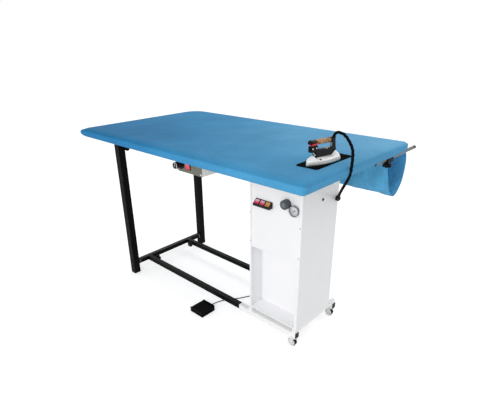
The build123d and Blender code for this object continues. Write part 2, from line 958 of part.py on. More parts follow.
def make_cable_gland():
    """Gland of the foot switch's cable on the cabinet's left side."""
    gland = rod_x(
        cable_entry.X - cable_gland_length, cable_entry.X, cable_entry.Y, cable_entry.Z, cable_gland_radius,
    )
    return gland + rod_x(
        cable_entry.X - sheet, cable_entry.X + sheet, cable_entry.Y, cable_entry.Z, cable_radius,
    )


def make_boiler():
    """Steam boiler standing behind the niche."""
    x = cabinet_right - boiler_right_inset
    y = cabinet_rear - boiler_rear_inset
    base = cabinet_bottom + sheet
    boiler = rod_z(x, y, base, base + boiler_height, boiler_radius)
    boiler = fillet(boiler.faces().sort_by(Axis.Z)[-1].edges(), radius=boiler_round)
    boiler += rod_z(
        x, y, base + boiler_height - cut_overrun, base + boiler_height + neck_height, neck_radius,
    )
    inner_top = base + boiler_height - boiler_wall
    hollow = rod_z(x, y, base + boiler_wall, inner_top, boiler_radius - boiler_wall)
    hollow = fillet(hollow.faces().sort_by(Axis.Z)[-1].edges(), radius=boiler_round - boiler_wall)
    hollow += rod_z(
        x, y, inner_top - cut_overrun, base + boiler_height + neck_height + cut_overrun, neck_radius - boiler_wall,
    )
    return boiler - hollow


def make_steam_valve():
    """Valve block on the boiler's neck."""
    x = cabinet_right - boiler_right_inset
    y = cabinet_rear - boiler_rear_inset
    base = cabinet_bottom + sheet + boiler_height + neck_height
    valve = block(
        x - valve_width / 2, x + valve_width / 2, y - valve_width / 2, y + valve_width / 2,
        base, base + valve_height,
    )
    return valve + rod_z(x, y, base + valve_height / 2, base + valve_height + neck_height, neck_radius)


box_left = table_left + box_left_inset
box_front = table_front + box_front_inset
box_bottom = pan_bottom - box_height - cover_thickness
thermostat_x = box_left + thermostat_left_inset
thermostat_z = box_bottom + thermostat_rise
main_rocker_x = box_left + main_rocker_left_inset + main_rocker_width / 2
main_rocker_z = box_bottom + main_rocker_rise + main_rocker_height / 2


def box_screw_places():
    """Screw places on the control box's face, as X and Z."""
    right = box_left + box_width - box_screw_inset
    left = box_left + box_screw_inset
    return [(left, box_bottom + box_screw_rise), (right, box_bottom + box_screw_rise)]


def make_control_box():
    """Sheet box under the table with a raised rocker frame."""
    case = block(box_left, box_left + box_width, box_front, box_front + box_depth, box_bottom, pan_bottom)
    case -= block(
        box_left + box_wall, box_left + box_width - box_wall, box_front + box_wall, box_front + box_depth - box_wall,
        box_bottom + box_wall, pan_bottom - box_wall,
    )
    half_w = main_rocker_width / 2
    half_h = main_rocker_height / 2
    case += block(
        main_rocker_x - half_w, main_rocker_x + half_w, box_front - main_rocker_bezel_proud, box_front + pocket_depth,
        main_rocker_z - half_h, main_rocker_z + half_h,
    )
    case -= block(
        main_rocker_x - half_w + main_rocker_bezel, main_rocker_x + half_w - main_rocker_bezel,
        box_front - main_rocker_bezel_proud - cut_overrun, box_front + pocket_depth - box_wall,
        main_rocker_z - half_h + main_rocker_bezel, main_rocker_z + half_h - main_rocker_bezel,
    )
    case -= rod_y(
        thermostat_x, box_front - cut_overrun, box_front + box_wall + cut_overrun, thermostat_z,
        thermostat_shaft_radius + running_gap,
    )
    for x, z in box_screw_places():
        case -= rod_y(x, box_front - cut_overrun, box_front + box_wall + cut_overrun, z, screw_radius)
    return case


def make_thermostat_knob():
    """Tapered knob with a round skirt on its shaft."""
    back = box_front - seat_gap
    seat = Plane(origin=(thermostat_x, back, thermostat_z), x_dir=(1, 0, 0), z_dir=(0, -1, 0))
    grip_length = thermostat_length - thermostat_skirt
    knob = rod_z(0, 0, 0, thermostat_skirt, thermostat_radius)
    grip = Cone(
        thermostat_radius - thermostat_taper, thermostat_radius - 2 * thermostat_taper, grip_length,
    )
    knob += Pos(0, 0, thermostat_skirt + grip_length / 2) * grip
    knob += rod_z(0, 0, -thermostat_shaft_length, thermostat_skirt / 2, thermostat_shaft_radius)
    return seat * knob


def make_main_rocker():
    """Rocker of the control box, resting tilted."""
    width = main_rocker_width - 2 * main_rocker_bezel - 2 * seat_gap
    length = main_rocker_height - 2 * main_rocker_bezel - 2 * rocker_end_gap
    seat = Plane(
        origin=(main_rocker_x, box_front - main_rocker_bezel_proud, main_rocker_z),
        x_dir=(1, 0, 0), z_dir=(0, -1, 0),
    )
    return seat * Rot(rocker_tilt, 0, 0) * rocker_body(width, length, rocker_sink, rocker_proud)


def iron_plan(inset):
    """Outline of the iron's sole with an arched nose, drawn in by an inset."""
    half = iron_width / 2 - inset
    shoulder = iron_tip + iron_length * shoulder_share
    tip, rear = iron_tip + inset, iron_rear - inset
    tip_half = tip_half_width * half / (iron_width / 2)
    right = TangentArc((iron_x + half, shoulder), (iron_x + tip_half, tip), tangent=(0, -1))
    left = TangentArc((iron_x - half, shoulder), (iron_x - tip_half, tip), tangent=(0, -1))
    front = Line((iron_x - tip_half, tip), (iron_x + tip_half, tip))
    side = Line((iron_x + half, shoulder), (iron_x + half, rear))
    back = Line((iron_x + half, rear), (iron_x - half, rear))
    other = Line((iron_x - half, rear), (iron_x - half, shoulder))
    face = make_face([front, right, side, back, other, left])
    corners = face.vertices().group_by(Axis.Y)[-1]
    return fillet(corners, radius=rear_corner_radius * half / (iron_width / 2))


def iron_layer(inset, z0, z1):
    """Slab with the iron's plan."""
    return extrude(Pos(0, 0, z0) * iron_plan(inset), amount=z1 - z0)


sole_top = sole_bottom + sole_thickness
wall_top = sole_top + wall_height
crown_front_y = iron_tip + crown_front_inset
crown_rear_y = iron_rear - heel_length
crown_front_z = wall_top + crown_height - crown_front_drop
crown_rear_z = wall_top + crown_height - crown_rear_drop
crown_fall_share = (crown_front_z - crown_rear_z) / (crown_rear_y - crown_front_y)
heel_top_y = iron_rear - heel_crest
heel_top_z = crown_front_z + nose_rise / 2
grip_front = iron_tip + grip_front_inset
grip_z = sole_bottom + grip_front_height
block_rear_y = iron_tip + block_rear_inset
rib_rear = block_rear_y - grip_front
post_rear_y = iron_rear - rear_post_edge
frame_front_y = iron_tip + frame_front_inset


def crown_z(y):
    """Height of the casting's sloping top at a place along it."""
    return crown_front_z - crown_fall_share * (y - crown_front_y)


grip_place = Pos(iron_x, grip_front, grip_z) * Rot(-grip_tilt, 0, 0)


def grip_point(along, up):
    """Y and Z of a point given along and across the tilted grip."""
    point = (grip_place * Pos(0, along, up)).position
    return point.Y, point.Z


grip_rear_y, grip_rear_z = grip_point(grip_length, 0)


def make_iron_sole():
    """Flat soleplate."""
    sole = iron_layer(0, sole_bottom, sole_top)
    bottom_edges = sole.faces().sort_by(Axis.Z)[0].edges()
    return chamfer(bottom_edges, length=cover_thickness / 2)


def make_iron_body():
    """Casting with drafted sides, a sloping top, a nose and a heel."""
    body = loft(
        [Pos(0, 0, sole_top) * iron_plan(0), Pos(0, 0, wall_top) * iron_plan(wall_draft)], ruled=True,
    )
    body += loft(
        [
            Pos(0, 0, wall_top) * iron_plan(wall_draft),
            Pos(0, 0, wall_top + crown_height) * iron_plan(crown_inset),
        ],
        ruled=True,
    )
    body -= prism_x(
        [
            (crown_front_y - crown_front_inset, crown_z(crown_front_y - crown_front_inset)),
            (iron_rear + cut_overrun, crown_z(iron_rear + cut_overrun)),
            (iron_rear + cut_overrun, grip_z), (crown_front_y - crown_front_inset, grip_z),
        ],
        iron_x - iron_width / 2, iron_x + iron_width / 2,
    )
    nose_y = crown_front_y - nose_length
    body += prism_x(
        [
            (nose_y - nose_run, wall_top), (nose_y, crown_front_z + nose_rise),
            (crown_front_y - seat_gap, crown_front_z), (crown_front_y - seat_gap, wall_top),
        ],
        iron_x - nose_width / 2, iron_x + nose_width / 2,
    )
    return body + prism_x(
        [
            (crown_rear_y, crown_rear_z), (heel_top_y, heel_top_z), (iron_rear - heel_edge, heel_top_z),
            (iron_rear - heel_edge, sole_top), (crown_rear_y, sole_top),
        ],
        iron_x - heel_width / 2, iron_x + heel_width / 2,
    )


def make_iron_handle():
    """Base, front block, rear post, grip cap and hose relief in one frame."""
    half = frame_width / 2
    base_z = crown_front_z + frame_rise
    block_front_y, block_top = grip_point(rib_rear - block_length, -block_drop)
    frame = prism_x(
        [
            (frame_front_y, crown_z(frame_front_y)), (frame_front_y - frame_lean, base_z - block_sink),
            (block_front_y + cap_edge, base_z - block_sink), (block_front_y, block_top),
            grip_point(rib_rear, -block_drop), (block_rear_y, base_z), (grip_rear_y, base_z - frame_fall),
            (post_rear_y, base_z - frame_fall), (post_rear_y, heel_top_z), (heel_top_y, heel_top_z),
            (crown_rear_y, crown_rear_z),
        ],
        iron_x - half, iron_x + half,
    )
    rib_half = lever_rib_width / 2
    frame += prism_x(
        [
            grip_point(-lever_lift, -block_drop - cap_edge), grip_point(-lever_lift, cap_edge),
            grip_point(0, cap_edge), grip_point(0, -cap_edge), grip_point(rib_rear, -cap_edge),
            grip_point(rib_rear, -block_drop - cap_edge),
        ],
        iron_x - rib_half, iron_x + rib_half,
    )
    cap = rod_y(0, -cap_length, 0, 0, grip_radius)
    cap -= block(
        -grip_radius - cut_overrun, grip_radius + cut_overrun, -cap_length - cut_overrun, cut_overrun,
        -grip_radius - cut_overrun, -cap_edge,
    )
    frame += grip_place * cap
    post_half = rear_post_width / 2
    frame += prism_x(
        [
            (grip_rear_y + cap_edge, base_z - frame_fall - cap_edge), grip_point(grip_length, -grip_radius),
            grip_point(grip_length, grip_radius), grip_point(grip_length + rear_post_top, grip_radius),
            (grip_rear_y + rear_post_base, base_z - frame_fall - cap_edge),
        ],
        iron_x - post_half, iron_x + post_half,
    )
    relief = Plane(origin=relief_start, z_dir=relief_direction)
    frame += relief * rod_z(0, 0, 0, iron_relief_length, iron_relief_radius)
    return frame - grip_place * rod_y(
        0, grip_length - cut_overrun, grip_length + grip_tongue_length, 0, grip_tongue_radius,
    )


relief_share = Vector(0.25, 0.05, 0.95)
relief_direction = relief_share.normalized()
relief_start = Vector(iron_x, grip_rear_y + relief_inset, grip_rear_z - relief_drop)
hose_upper_end = relief_start + relief_direction * iron_relief_length


def make_iron_lever():
    """Forked steam lever under the grip's front end, resting low."""
    hinge_y, top = grip_notch - lever_lift, -cap_edge - 2 * seat_gap
    front = hinge_y - lever_length
    outline = [
        grip_point(hinge_y, top), grip_point(front + lever_tip, top - lever_lift),
        grip_point(front, top - lever_lift - lever_tip),
        grip_point(front + lever_tip, top - lever_lift - lever_thickness + cap_edge),
        grip_point(hinge_y, top - lever_thickness),
    ]
    lever = prism_x(outline, iron_x - frame_width / 2, iron_x + frame_width / 2)
    slot_half = lever_rib_width / 2 + seat_gap
    slot = [
        grip_point(-lever_lift - 2 * seat_gap, -grip_notch), grip_point(-lever_lift - 2 * seat_gap, grip_notch),
        grip_point(grip_notch, grip_notch), grip_point(grip_notch, -grip_notch),
    ]
    return lever - prism_x(slot, iron_x - slot_half, iron_x + slot_half)


def make_iron_grip():
    """Cork grip, notched over the lever, with a tongue in the rear post."""
    grip = rod_y(0, 0, grip_length, 0, grip_radius)
    grip -= block(
        -grip_radius - cut_overrun, grip_radius + cut_overrun, -cut_overrun, grip_notch,
        -grip_radius - cut_overrun, -cap_edge,
    )
    grip += rod_y(0, grip_length, grip_length + grip_tongue_length, 0, grip_tongue_radius)
    return grip_place * grip


def make_iron_mat():
    """Rest mat under the iron."""
    middle = iron_tip - mat_lead + mat_length / 2
    mat = block(
        iron_x - mat_width / 2, iron_x + mat_width / 2,
        middle - mat_length / 2, middle + mat_length / 2, table_top, sole_bottom,
    )
    return fillet(mat.edges().filter_by(Axis.Z), radius=mat_corner)


# Hose route from the iron over the table's edge to the cabinet
hose_middle = [
    (625.0, -166.0, 981.0), (643.0, -163.0, 980.0), (662.0, -163.0, 968.0), (677.0, -166.0, 952.5),
    (691.0, -173.0, 941.0), (703.0, -182.0, 930.0), (711.0, -191.0, 915.0), (715.0, -200.0, 893.0),
    (715.0, -205.0, 860.0), (706.0, -203.0, 825.0), (680.0, -183.0, 789.0), (648.0, -147.0, 749.0),
    (616.0, -103.0, 712.0),
]

# Cable route over the floor from the foot switch to the cabinet's gland
cable_middle = [
    (33.0, -238.0, 2.7), (50.0, -203.0, 2.7), (73.0, -174.0, 2.7),
    (95.0, -143.0, 2.7), (112.0, -108.0, 2.7), (132.0, -73.0, 2.7), (157.0, -50.0, 4.0),
    (178.0, -46.0, 16.0), (192.0, -48.0, 38.0), (198.0, -54.0, 66.0), (206.0, -57.0, 92.0),
    (219.0, -58.0, 111.0),
]


def cord_tube(name, points, radius):
    """Tube of straight runs joined by tangent arcs; prints its radii."""
    radii = []
    for before, here, after in zip(points, points[1:], points[2:]):
        run_in = Vector(*here) - Vector(*before)
        run_out = Vector(*after) - Vector(*here)
        turn = run_in.get_angle(run_out)
        shorter = min(run_in.length, run_out.length)
        radii.append(arc_share * shorter / math.tan(math.radians(turn / 2)))
    path = FilletPolyline(*points, radius=radii)
    section = Plane(origin=path @ 0, z_dir=path % 0) * Circle(radius)
    tube = sweep(section, path=path)
    expected = math.pi * radius * radius * path.length
    print(name, "radii", [round(r, 1) for r in radii])
    print(name, "length", round(path.length, 1), "volume share", round(tube.volume / expected, 4))
    return tube


pedal_left = table_left + pedal_left_inset
pedal_right = pedal_left + pedal_width
pedal_front = table_front + pedal_front_inset
pedal_rear = pedal_front + pedal_depth
treadle_pin_y = pedal_rear - pedal_rear_depth - treadle_pin_back
treadle_rear = pedal_rear - pedal_rear_depth - cut_overrun


def make_pedal_base():
    """Base plate with a rear block and two hinge cheeks."""
    base = block(pedal_left, pedal_right, pedal_front, pedal_rear, 0, pedal_base_height)
    base += block(
        pedal_left, pedal_right, pedal_rear - pedal_rear_depth, pedal_rear, 0, pedal_rear_height,
    )
    cheek_y = pedal_rear - pedal_rear_depth - pedal_cheek_depth
    for x in (pedal_left, pedal_right - pedal_wall):
        base += block(x, x + pedal_wall, cheek_y, pedal_rear - cut_overrun, 0, pedal_cheek_height)
    right_rear = base.edges().filter_by(Axis.Z).sort_by(lambda e: -e.center().X - e.center().Y)[0]
    base = chamfer(right_rear, length=pedal_chamfer)
    return base - rod_x(
        pedal_left - cut_overrun, pedal_right + cut_overrun, treadle_pin_y, treadle_rise,
        treadle_pin_radius + running_gap,
    )


def make_treadle():
    """Treadle with a raised front lip and its hinge pin."""
    x0 = pedal_left + pedal_wall + seat_gap
    x1 = pedal_right - pedal_wall - seat_gap
    cheek_y = pedal_rear - pedal_rear_depth - pedal_cheek_depth - cut_overrun
    top = treadle_rise + treadle_thickness
    treadle = block(pedal_left, pedal_right, pedal_front, cheek_y, treadle_rise, top)
    treadle += block(x0, x1, cheek_y - cut_overrun, treadle_rear - treadle_lip_height, treadle_rise, top)
    treadle += block(
        pedal_left, pedal_right, pedal_front, pedal_front + treadle_lip_depth, treadle_rise, top + treadle_lip_height,
    )
    return treadle + rod_x(pedal_left, pedal_right, treadle_pin_y, treadle_rise, treadle_pin_radius)


def arm_places():
    """X of the two trough arms, left first."""
    return [table_left + arm_left_inset, table_right - arm_right_inset]


arm_front = table_front + arm_front_inset
arm_end = table_rear + arm_reach
bracket_front = table_front + bracket_front_inset
bracket_rear = bracket_front + bracket_depth
bracket_bottom = arm_height - arm_radius - bracket_skin


def make_trough_arms():
    """Two round tubes that slide in the brackets."""
    arms = []
    for x in arm_places():
        arm = rod_y(x, arm_front, arm_end - tip_length, arm_height, arm_radius)
        arm -= rod_y(
            x, arm_front - cut_overrun, arm_end - tip_length + cut_overrun, arm_height, arm_radius - arm_wall,
        )
        arms.append(arm)
    return arms


def make_arm_tips():
    """Plugged tips of the arms."""
    tips = []
    for x in arm_places():
        tip = rod_y(x, arm_end - tip_length, arm_end, arm_height, arm_radius)
        tip = fillet(tip.edges().filter_by(GeomType.CIRCLE).sort_by(Axis.Y)[-1], radius=arm_radius / 2)
        plug = rod_y(
            x, arm_end - tip_length - tip_plug, arm_end - tip_length / 2, arm_height, arm_radius - arm_wall - seat_gap,
        )
        tips.append(tip + plug)
    return tips


def make_arm_brackets():
    """Clamp blocks under the pan that guide the arms."""
    brackets = []
    knob_y = (bracket_front + bracket_rear) / 2
    for x in arm_places():
        bracket = block(
            x - bracket_width / 2, x + bracket_width / 2, bracket_front, bracket_rear, bracket_bottom, pan_bottom,
        )
        bracket -= rod_y(
            x, bracket_front - cut_overrun, bracket_rear + cut_overrun, arm_height, arm_radius + running_gap,
        )
        bracket -= rod_z(x, knob_y, bracket_bottom - cut_overrun, arm_height, stud_radius + running_gap)
        brackets.append(bracket)
    return brackets


def make_trough_knob(index):
    """Lobed clamp knob under a bracket."""
    seat = Plane(
        origin=(arm_places()[index], (bracket_front + bracket_rear) / 2, bracket_bottom),
        x_dir=(1, 0, 0), z_dir=(0, 0, -1),
    )
    return seat * lobed_knob(trough_knob_radius, bracket_skin - seat_gap)


rod_left = table_left + arm_left_inset + arm_radius
rod_right = table_right - arm_right_inset - arm_radius


def make_trough_rods():
    """Two rods between the arms that carry the cloth."""
    return [
        rod_x(rod_left, rod_right, table_front + inset, arm_height, rod_radius)
        for inset in (front_rod_inset, rear_rod_inset)
    ]


# Outline of the cloth below the rods: depth shares from the front rod to the rear rod
cloth_shares = [
    (0.0, 0.02), (0.0, 0.2), (0.03, 0.36), (0.09, 0.51), (0.19, 0.65), (0.29, 0.76), (0.4, 0.87),
    (0.5, 0.955), (0.61, 1.0), (0.715, 0.985), (0.82, 0.93), (0.91, 0.83), (0.97, 0.68), (1.0, 0.5),
    (1.02, 0.34), (1.02, 0.18), (1.0, 0.02),
]
fold_shares = [0.0, 0.7, -0.5, 0.4, -1.0, 0.8, -0.3, 0.6, 0.0]


def cloth_line(fold):
    """Middle line of the cloth in a YZ plane, as points."""
    front_y = table_front + front_rod_inset
    rear_y = table_front + rear_rod_inset
    wrap = rod_radius + seat_gap + cloth_thickness / 2
    points = []
    for angle in range(-wrap_step, 180 + wrap_step, wrap_step):
        points.append(
            (
                front_y + wrap * math.cos(math.radians(angle)), arm_height + wrap * math.sin(
                    math.radians(angle),
                ),
            ),
        )
    span = rear_y - front_y + 2 * wrap
    for y_share, z_share in cloth_shares:
        push = fold * fold_depth * math.sin(math.pi * z_share)
        side = 1 if y_share < half_share else -1
        points.append(
            (
                front_y - wrap + span * y_share + push * side * half_share, arm_height - trough_depth * z_share + push,
            ),
        )
    for angle in range(0, 180 + 2 * wrap_step, wrap_step):
        points.append(
            (
                rear_y + wrap * math.cos(math.radians(angle)), arm_height + wrap * math.sin(
                    math.radians(angle),
                ),
            ),
        )
    return points


def offset_line(points, distance):
    """Points moved sideways off their own line."""
    moved = []
    for index, (y, z) in enumerate(points):
        before = points[max(index - 1, 0)]
        after = points[min(index + 1, len(points) - 1)]
        length = math.hypot(after[0] - before[0], after[1] - before[1])
        normal = ((before[1] - after[1]) / length, (after[0] - before[0]) / length)
        moved.append((y + normal[0] * distance, z + normal[1] * distance))
    return moved


def make_trough_cloth():
    """Cloth hung from the two rods, drawn in by shallow folds."""
    x0 = rod_left + cloth_end_gap
    x1 = rod_right - cloth_end_gap
    sections = []
    for index in range(fold_count + 1):
        x = x0 + (x1 - x0) * index / fold_count
        line = cloth_line(fold_shares[index % len(fold_shares)])
        band = offset_line(line, cloth_thickness / 2) + offset_line(line, -cloth_thickness / 2)[::-1]
        sections.append(make_face(Polyline(*[(x, y, z) for y, z in band], close=True)))
    return loft(sections, ruled=True)


cable_exit = (pedal_left + pedal_width * half_share, pedal_rear, cable_radius + cable_lift)


def as_point(vector):
    """Vector as a plain tuple."""
    return (vector.X, vector.Y, vector.Z)


def make_steam_hose():
    """Hose from the iron's relief to the cabinet's gland."""
    first = hose_upper_end + relief_direction * hose_exit_run
    last = hose_lower_end + sleeve_direction * hose_entry_run
    points = [as_point(hose_upper_end), as_point(first)] + hose_middle + [
        as_point(last), as_point(hose_lower_end),
    ]
    return cord_tube("steam_hose", points, hose_radius)


def make_pedal_cable():
    """Cable from the foot switch to the cabinet's left side."""
    end_x = cable_entry.X - cable_gland_length
    last = (end_x - cable_entry_run, cable_entry.Y, cable_entry.Z)
    end = (end_x, cable_entry.Y, cable_entry.Z)
    first = (cable_exit[0], cable_exit[1] + cable_exit_run, cable_exit[2])
    points = [cable_exit, first] + cable_middle + [last, end]
    return cord_tube("pedal_cable", points, cable_radius)


def write_node(name, shape):
    """Write one node, as one solid or as several separate ones."""
    items = shape if isinstance(shape, list) else [shape]
    bodies = [solid for item in items for solid in item.solids()]
    for body in bodies:
        body.label = name
    export_step(Compound(children=bodies) if len(bodies) > 1 else bodies[0], f"parts/{name}.step")


def main():
    """Build every node and write it."""
    front_y, rear_y = [y + tube_size / 2 for y in tube_rows()]
    nodes = {
        "table_cover": make_cover(),
        "table_pad": make_pad(),
        "table_work_plate": make_work_plate(),
        "table_pan": make_pan(),
        "fan_housing": make_fan_housing(),
        "fan_rotor": make_fan_rotor(),
        "fan_motor": make_fan_motor(),
        "leg_front": make_leg(front_leg_front, 1),
        "leg_rear": make_leg(rear_leg_front, -1),
        "leg_feet": make_leg_feet(),
        "leg_brackets": make_leg_brackets(),
        "cross_tube": make_cross_tube(),
        "cross_bolts": make_cross_bolts(),
        "long_tubes": make_long_tubes(),
        "base_tubes": make_base_tubes(),
        "base_tube_caps": make_tube_caps(),
        "base_rails": make_base_rails(),
        "star_knob_front": make_star_knob(1),
        "star_knob_rear": make_star_knob(-1),
        "caster_fork_front": make_caster_fork(front_y),
        "caster_fork_rear": make_caster_fork(rear_y),
        "caster_wheel_front": make_caster_wheel(front_y),
        "caster_wheel_rear": make_caster_wheel(rear_y),
        "cabinet_shell": make_cabinet_shell(),
        "cabinet_front_panel": make_front_panel(),
        "cabinet_niche": make_niche(),
        "case_screws": make_case_screws(),
        "rocker_console": make_console(),
        "rocker_red_left": make_console_rocker(0),
        "rocker_red_middle": make_console_rocker(1),
        "rocker_amber": make_console_rocker(2),
        "regulator_knob": make_regulator_knob(),
        "gauge_case": make_gauge_case(),
        "gauge_needle": make_gauge_needle(),
        "gauge_lens": make_gauge_lens(),
        "side_grommet": make_grommet(),
        "hose_gland": make_hose_gland(),
        "cable_gland": make_cable_gland(),
        "boiler": make_boiler(),
        "steam_valve": make_steam_valve(),
        "control_box": make_control_box(),
        "thermostat_knob": make_thermostat_knob(),
        "main_rocker": make_main_rocker(),
        "iron_soleplate": make_iron_sole(),
        "iron_body": make_iron_body(),
        "iron_handle": make_iron_handle(),
        "iron_grip": make_iron_grip(),
        "iron_lever": make_iron_lever(),
        "iron_mat": make_iron_mat(),
        "steam_hose": make_steam_hose(),
        "pedal_base": make_pedal_base(),
        "pedal_treadle": make_treadle(),
        "pedal_cable": make_pedal_cable(),
        "trough_arms": make_trough_arms(),
        "trough_arm_tips": make_arm_tips(),
        "trough_brackets": make_arm_brackets(),
        "trough_knob_left": make_trough_knob(0),
        "trough_knob_right": make_trough_knob(1),
        "trough_rods": make_trough_rods(),
        "trough_cloth": make_trough_cloth(),
    }
    os.makedirs("parts", exist_ok=True)
    for name, shape in nodes.items():
        write_node(name, shape)


if __name__ == "__main__":
    main()
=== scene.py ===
"""Looks of the vacuum ironing table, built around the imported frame.

Metres. +X runs to the steam cabinet, +Y to the linen trough, +Z up.
"""

from __future__ import annotations

import json
import logging
import math
from dataclasses import dataclass
from enum import Enum
from typing import Any, Callable, Mapping, Optional, Sequence, Union

import bmesh
import bpy
import numpy as np
from mathutils import Matrix, Vector, noise

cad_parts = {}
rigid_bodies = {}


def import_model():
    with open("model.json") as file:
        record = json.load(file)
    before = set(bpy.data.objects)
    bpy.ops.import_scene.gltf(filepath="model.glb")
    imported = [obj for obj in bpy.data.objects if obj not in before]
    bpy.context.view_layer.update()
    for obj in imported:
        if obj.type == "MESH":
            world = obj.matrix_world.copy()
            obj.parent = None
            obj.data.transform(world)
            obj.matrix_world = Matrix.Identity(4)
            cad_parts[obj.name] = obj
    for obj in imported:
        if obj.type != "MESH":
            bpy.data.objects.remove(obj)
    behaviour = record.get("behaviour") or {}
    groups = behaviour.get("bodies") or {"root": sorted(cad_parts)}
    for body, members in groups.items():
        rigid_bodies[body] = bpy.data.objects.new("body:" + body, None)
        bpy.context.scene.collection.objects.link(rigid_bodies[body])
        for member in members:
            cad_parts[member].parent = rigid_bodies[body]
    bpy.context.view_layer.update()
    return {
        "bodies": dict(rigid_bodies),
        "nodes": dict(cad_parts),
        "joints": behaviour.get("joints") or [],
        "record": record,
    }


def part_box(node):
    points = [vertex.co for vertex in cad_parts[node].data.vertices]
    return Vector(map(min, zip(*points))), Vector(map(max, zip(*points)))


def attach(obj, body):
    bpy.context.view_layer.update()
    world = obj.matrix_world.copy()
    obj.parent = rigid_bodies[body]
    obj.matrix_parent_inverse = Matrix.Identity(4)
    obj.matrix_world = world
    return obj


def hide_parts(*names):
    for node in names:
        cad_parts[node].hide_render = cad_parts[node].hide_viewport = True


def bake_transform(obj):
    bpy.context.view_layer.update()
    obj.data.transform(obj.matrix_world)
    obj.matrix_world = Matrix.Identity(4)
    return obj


log = logging.getLogger("ironing_table")

Point = tuple[float, float, float]
Colour = tuple[float, float, float]
Pairs = Sequence[tuple[float, float]]
Piece = bpy.types.Object
Material = bpy.types.Material

WHITE = (1.0, 1.0, 1.0)
EVEN = (1.0, 1.0, 1.0)


class Axis(Enum):
    """The way a turned piece or a screw points."""

    UP = (0.0, 0.0, 1.0)
    FRONT = (0.0, -1.0, 0.0)
    RIGHT = (1.0, 0.0, 0.0)
    LEFT = (-1.0, 0.0, 0.0)


def srgb(red: int, green: int, blue: int) -> Colour:
    """Linear colour of an sRGB one.

    Args:
        red: Red, 0 to 255.
        green: Green, 0 to 255.
        blue: Blue, 0 to 255.

    Returns:
        The three linear channels, 0 to 1.
    """
    def channel(value: int) -> float:
        """Linear value of one channel."""
        share = value / 255
        return share / 12.92 if share <= 0.04045 else ((share + 0.055) / 1.055) ** 2.4

    return channel(red), channel(green), channel(blue)


def darker(colour: Colour, share: float) -> Colour:
    """A share of a linear colour."""
    return tuple(value * share for value in colour)


def travelled(line: np.ndarray) -> np.ndarray:
    """Distance along a line at each of its points."""
    return np.r_[0.0, np.cumsum(np.linalg.norm(np.diff(line, axis=0), axis=1))]


def evened(line: np.ndarray, count: int) -> np.ndarray:
    """Spaces points evenly along a line.

    Args:
        line: The line, with a point in each row.
        count: How many points to give.

    Returns:
        The even points, from the line's first to its last.
    """
    steps = travelled(line)
    even = np.linspace(0.0, steps[-1], count)
    return np.stack([np.interp(even, steps, values) for values in line.T], axis=1)


# Node graphs


def _operator(operation: str, reflected: bool = False) -> Callable[..., "Wire"]:
    """Writes one operator of the class Wire.

    Args:
        operation: What the Math node does.
        reflected: Whether the wire is the right one of the two values.

    Returns:
        The method, which adds the node to the wire's own graph.
    """
    def method(wire: "Wire", other: "Value" = 0.0) -> "Wire":
        """Adds the node on the wire and another value."""
        values = (other, wire) if reflected else (wire, other)
        return wire.graph.math(operation, *values)

    return method


@dataclass(eq=False)
class Wire:
    """An output socket whose arithmetic adds Math nodes to its own graph."""

    graph: "Graph"
    socket: bpy.types.NodeSocket

    __add__, __radd__ = _operator("ADD"), _operator("ADD", True)
    __sub__, __rsub__ = _operator("SUBTRACT"), _operator("SUBTRACT", True)
    __mul__, __rmul__ = _operator("MULTIPLY"), _operator("MULTIPLY", True)
    __truediv__, __rtruediv__ = _operator("DIVIDE"), _operator("DIVIDE", True)
    __gt__, __lt__ = _operator("GREATER_THAN"), _operator("LESS_THAN")
    __abs__ = _operator("ABSOLUTE")


Value = Union[Wire, float, Sequence[float]]


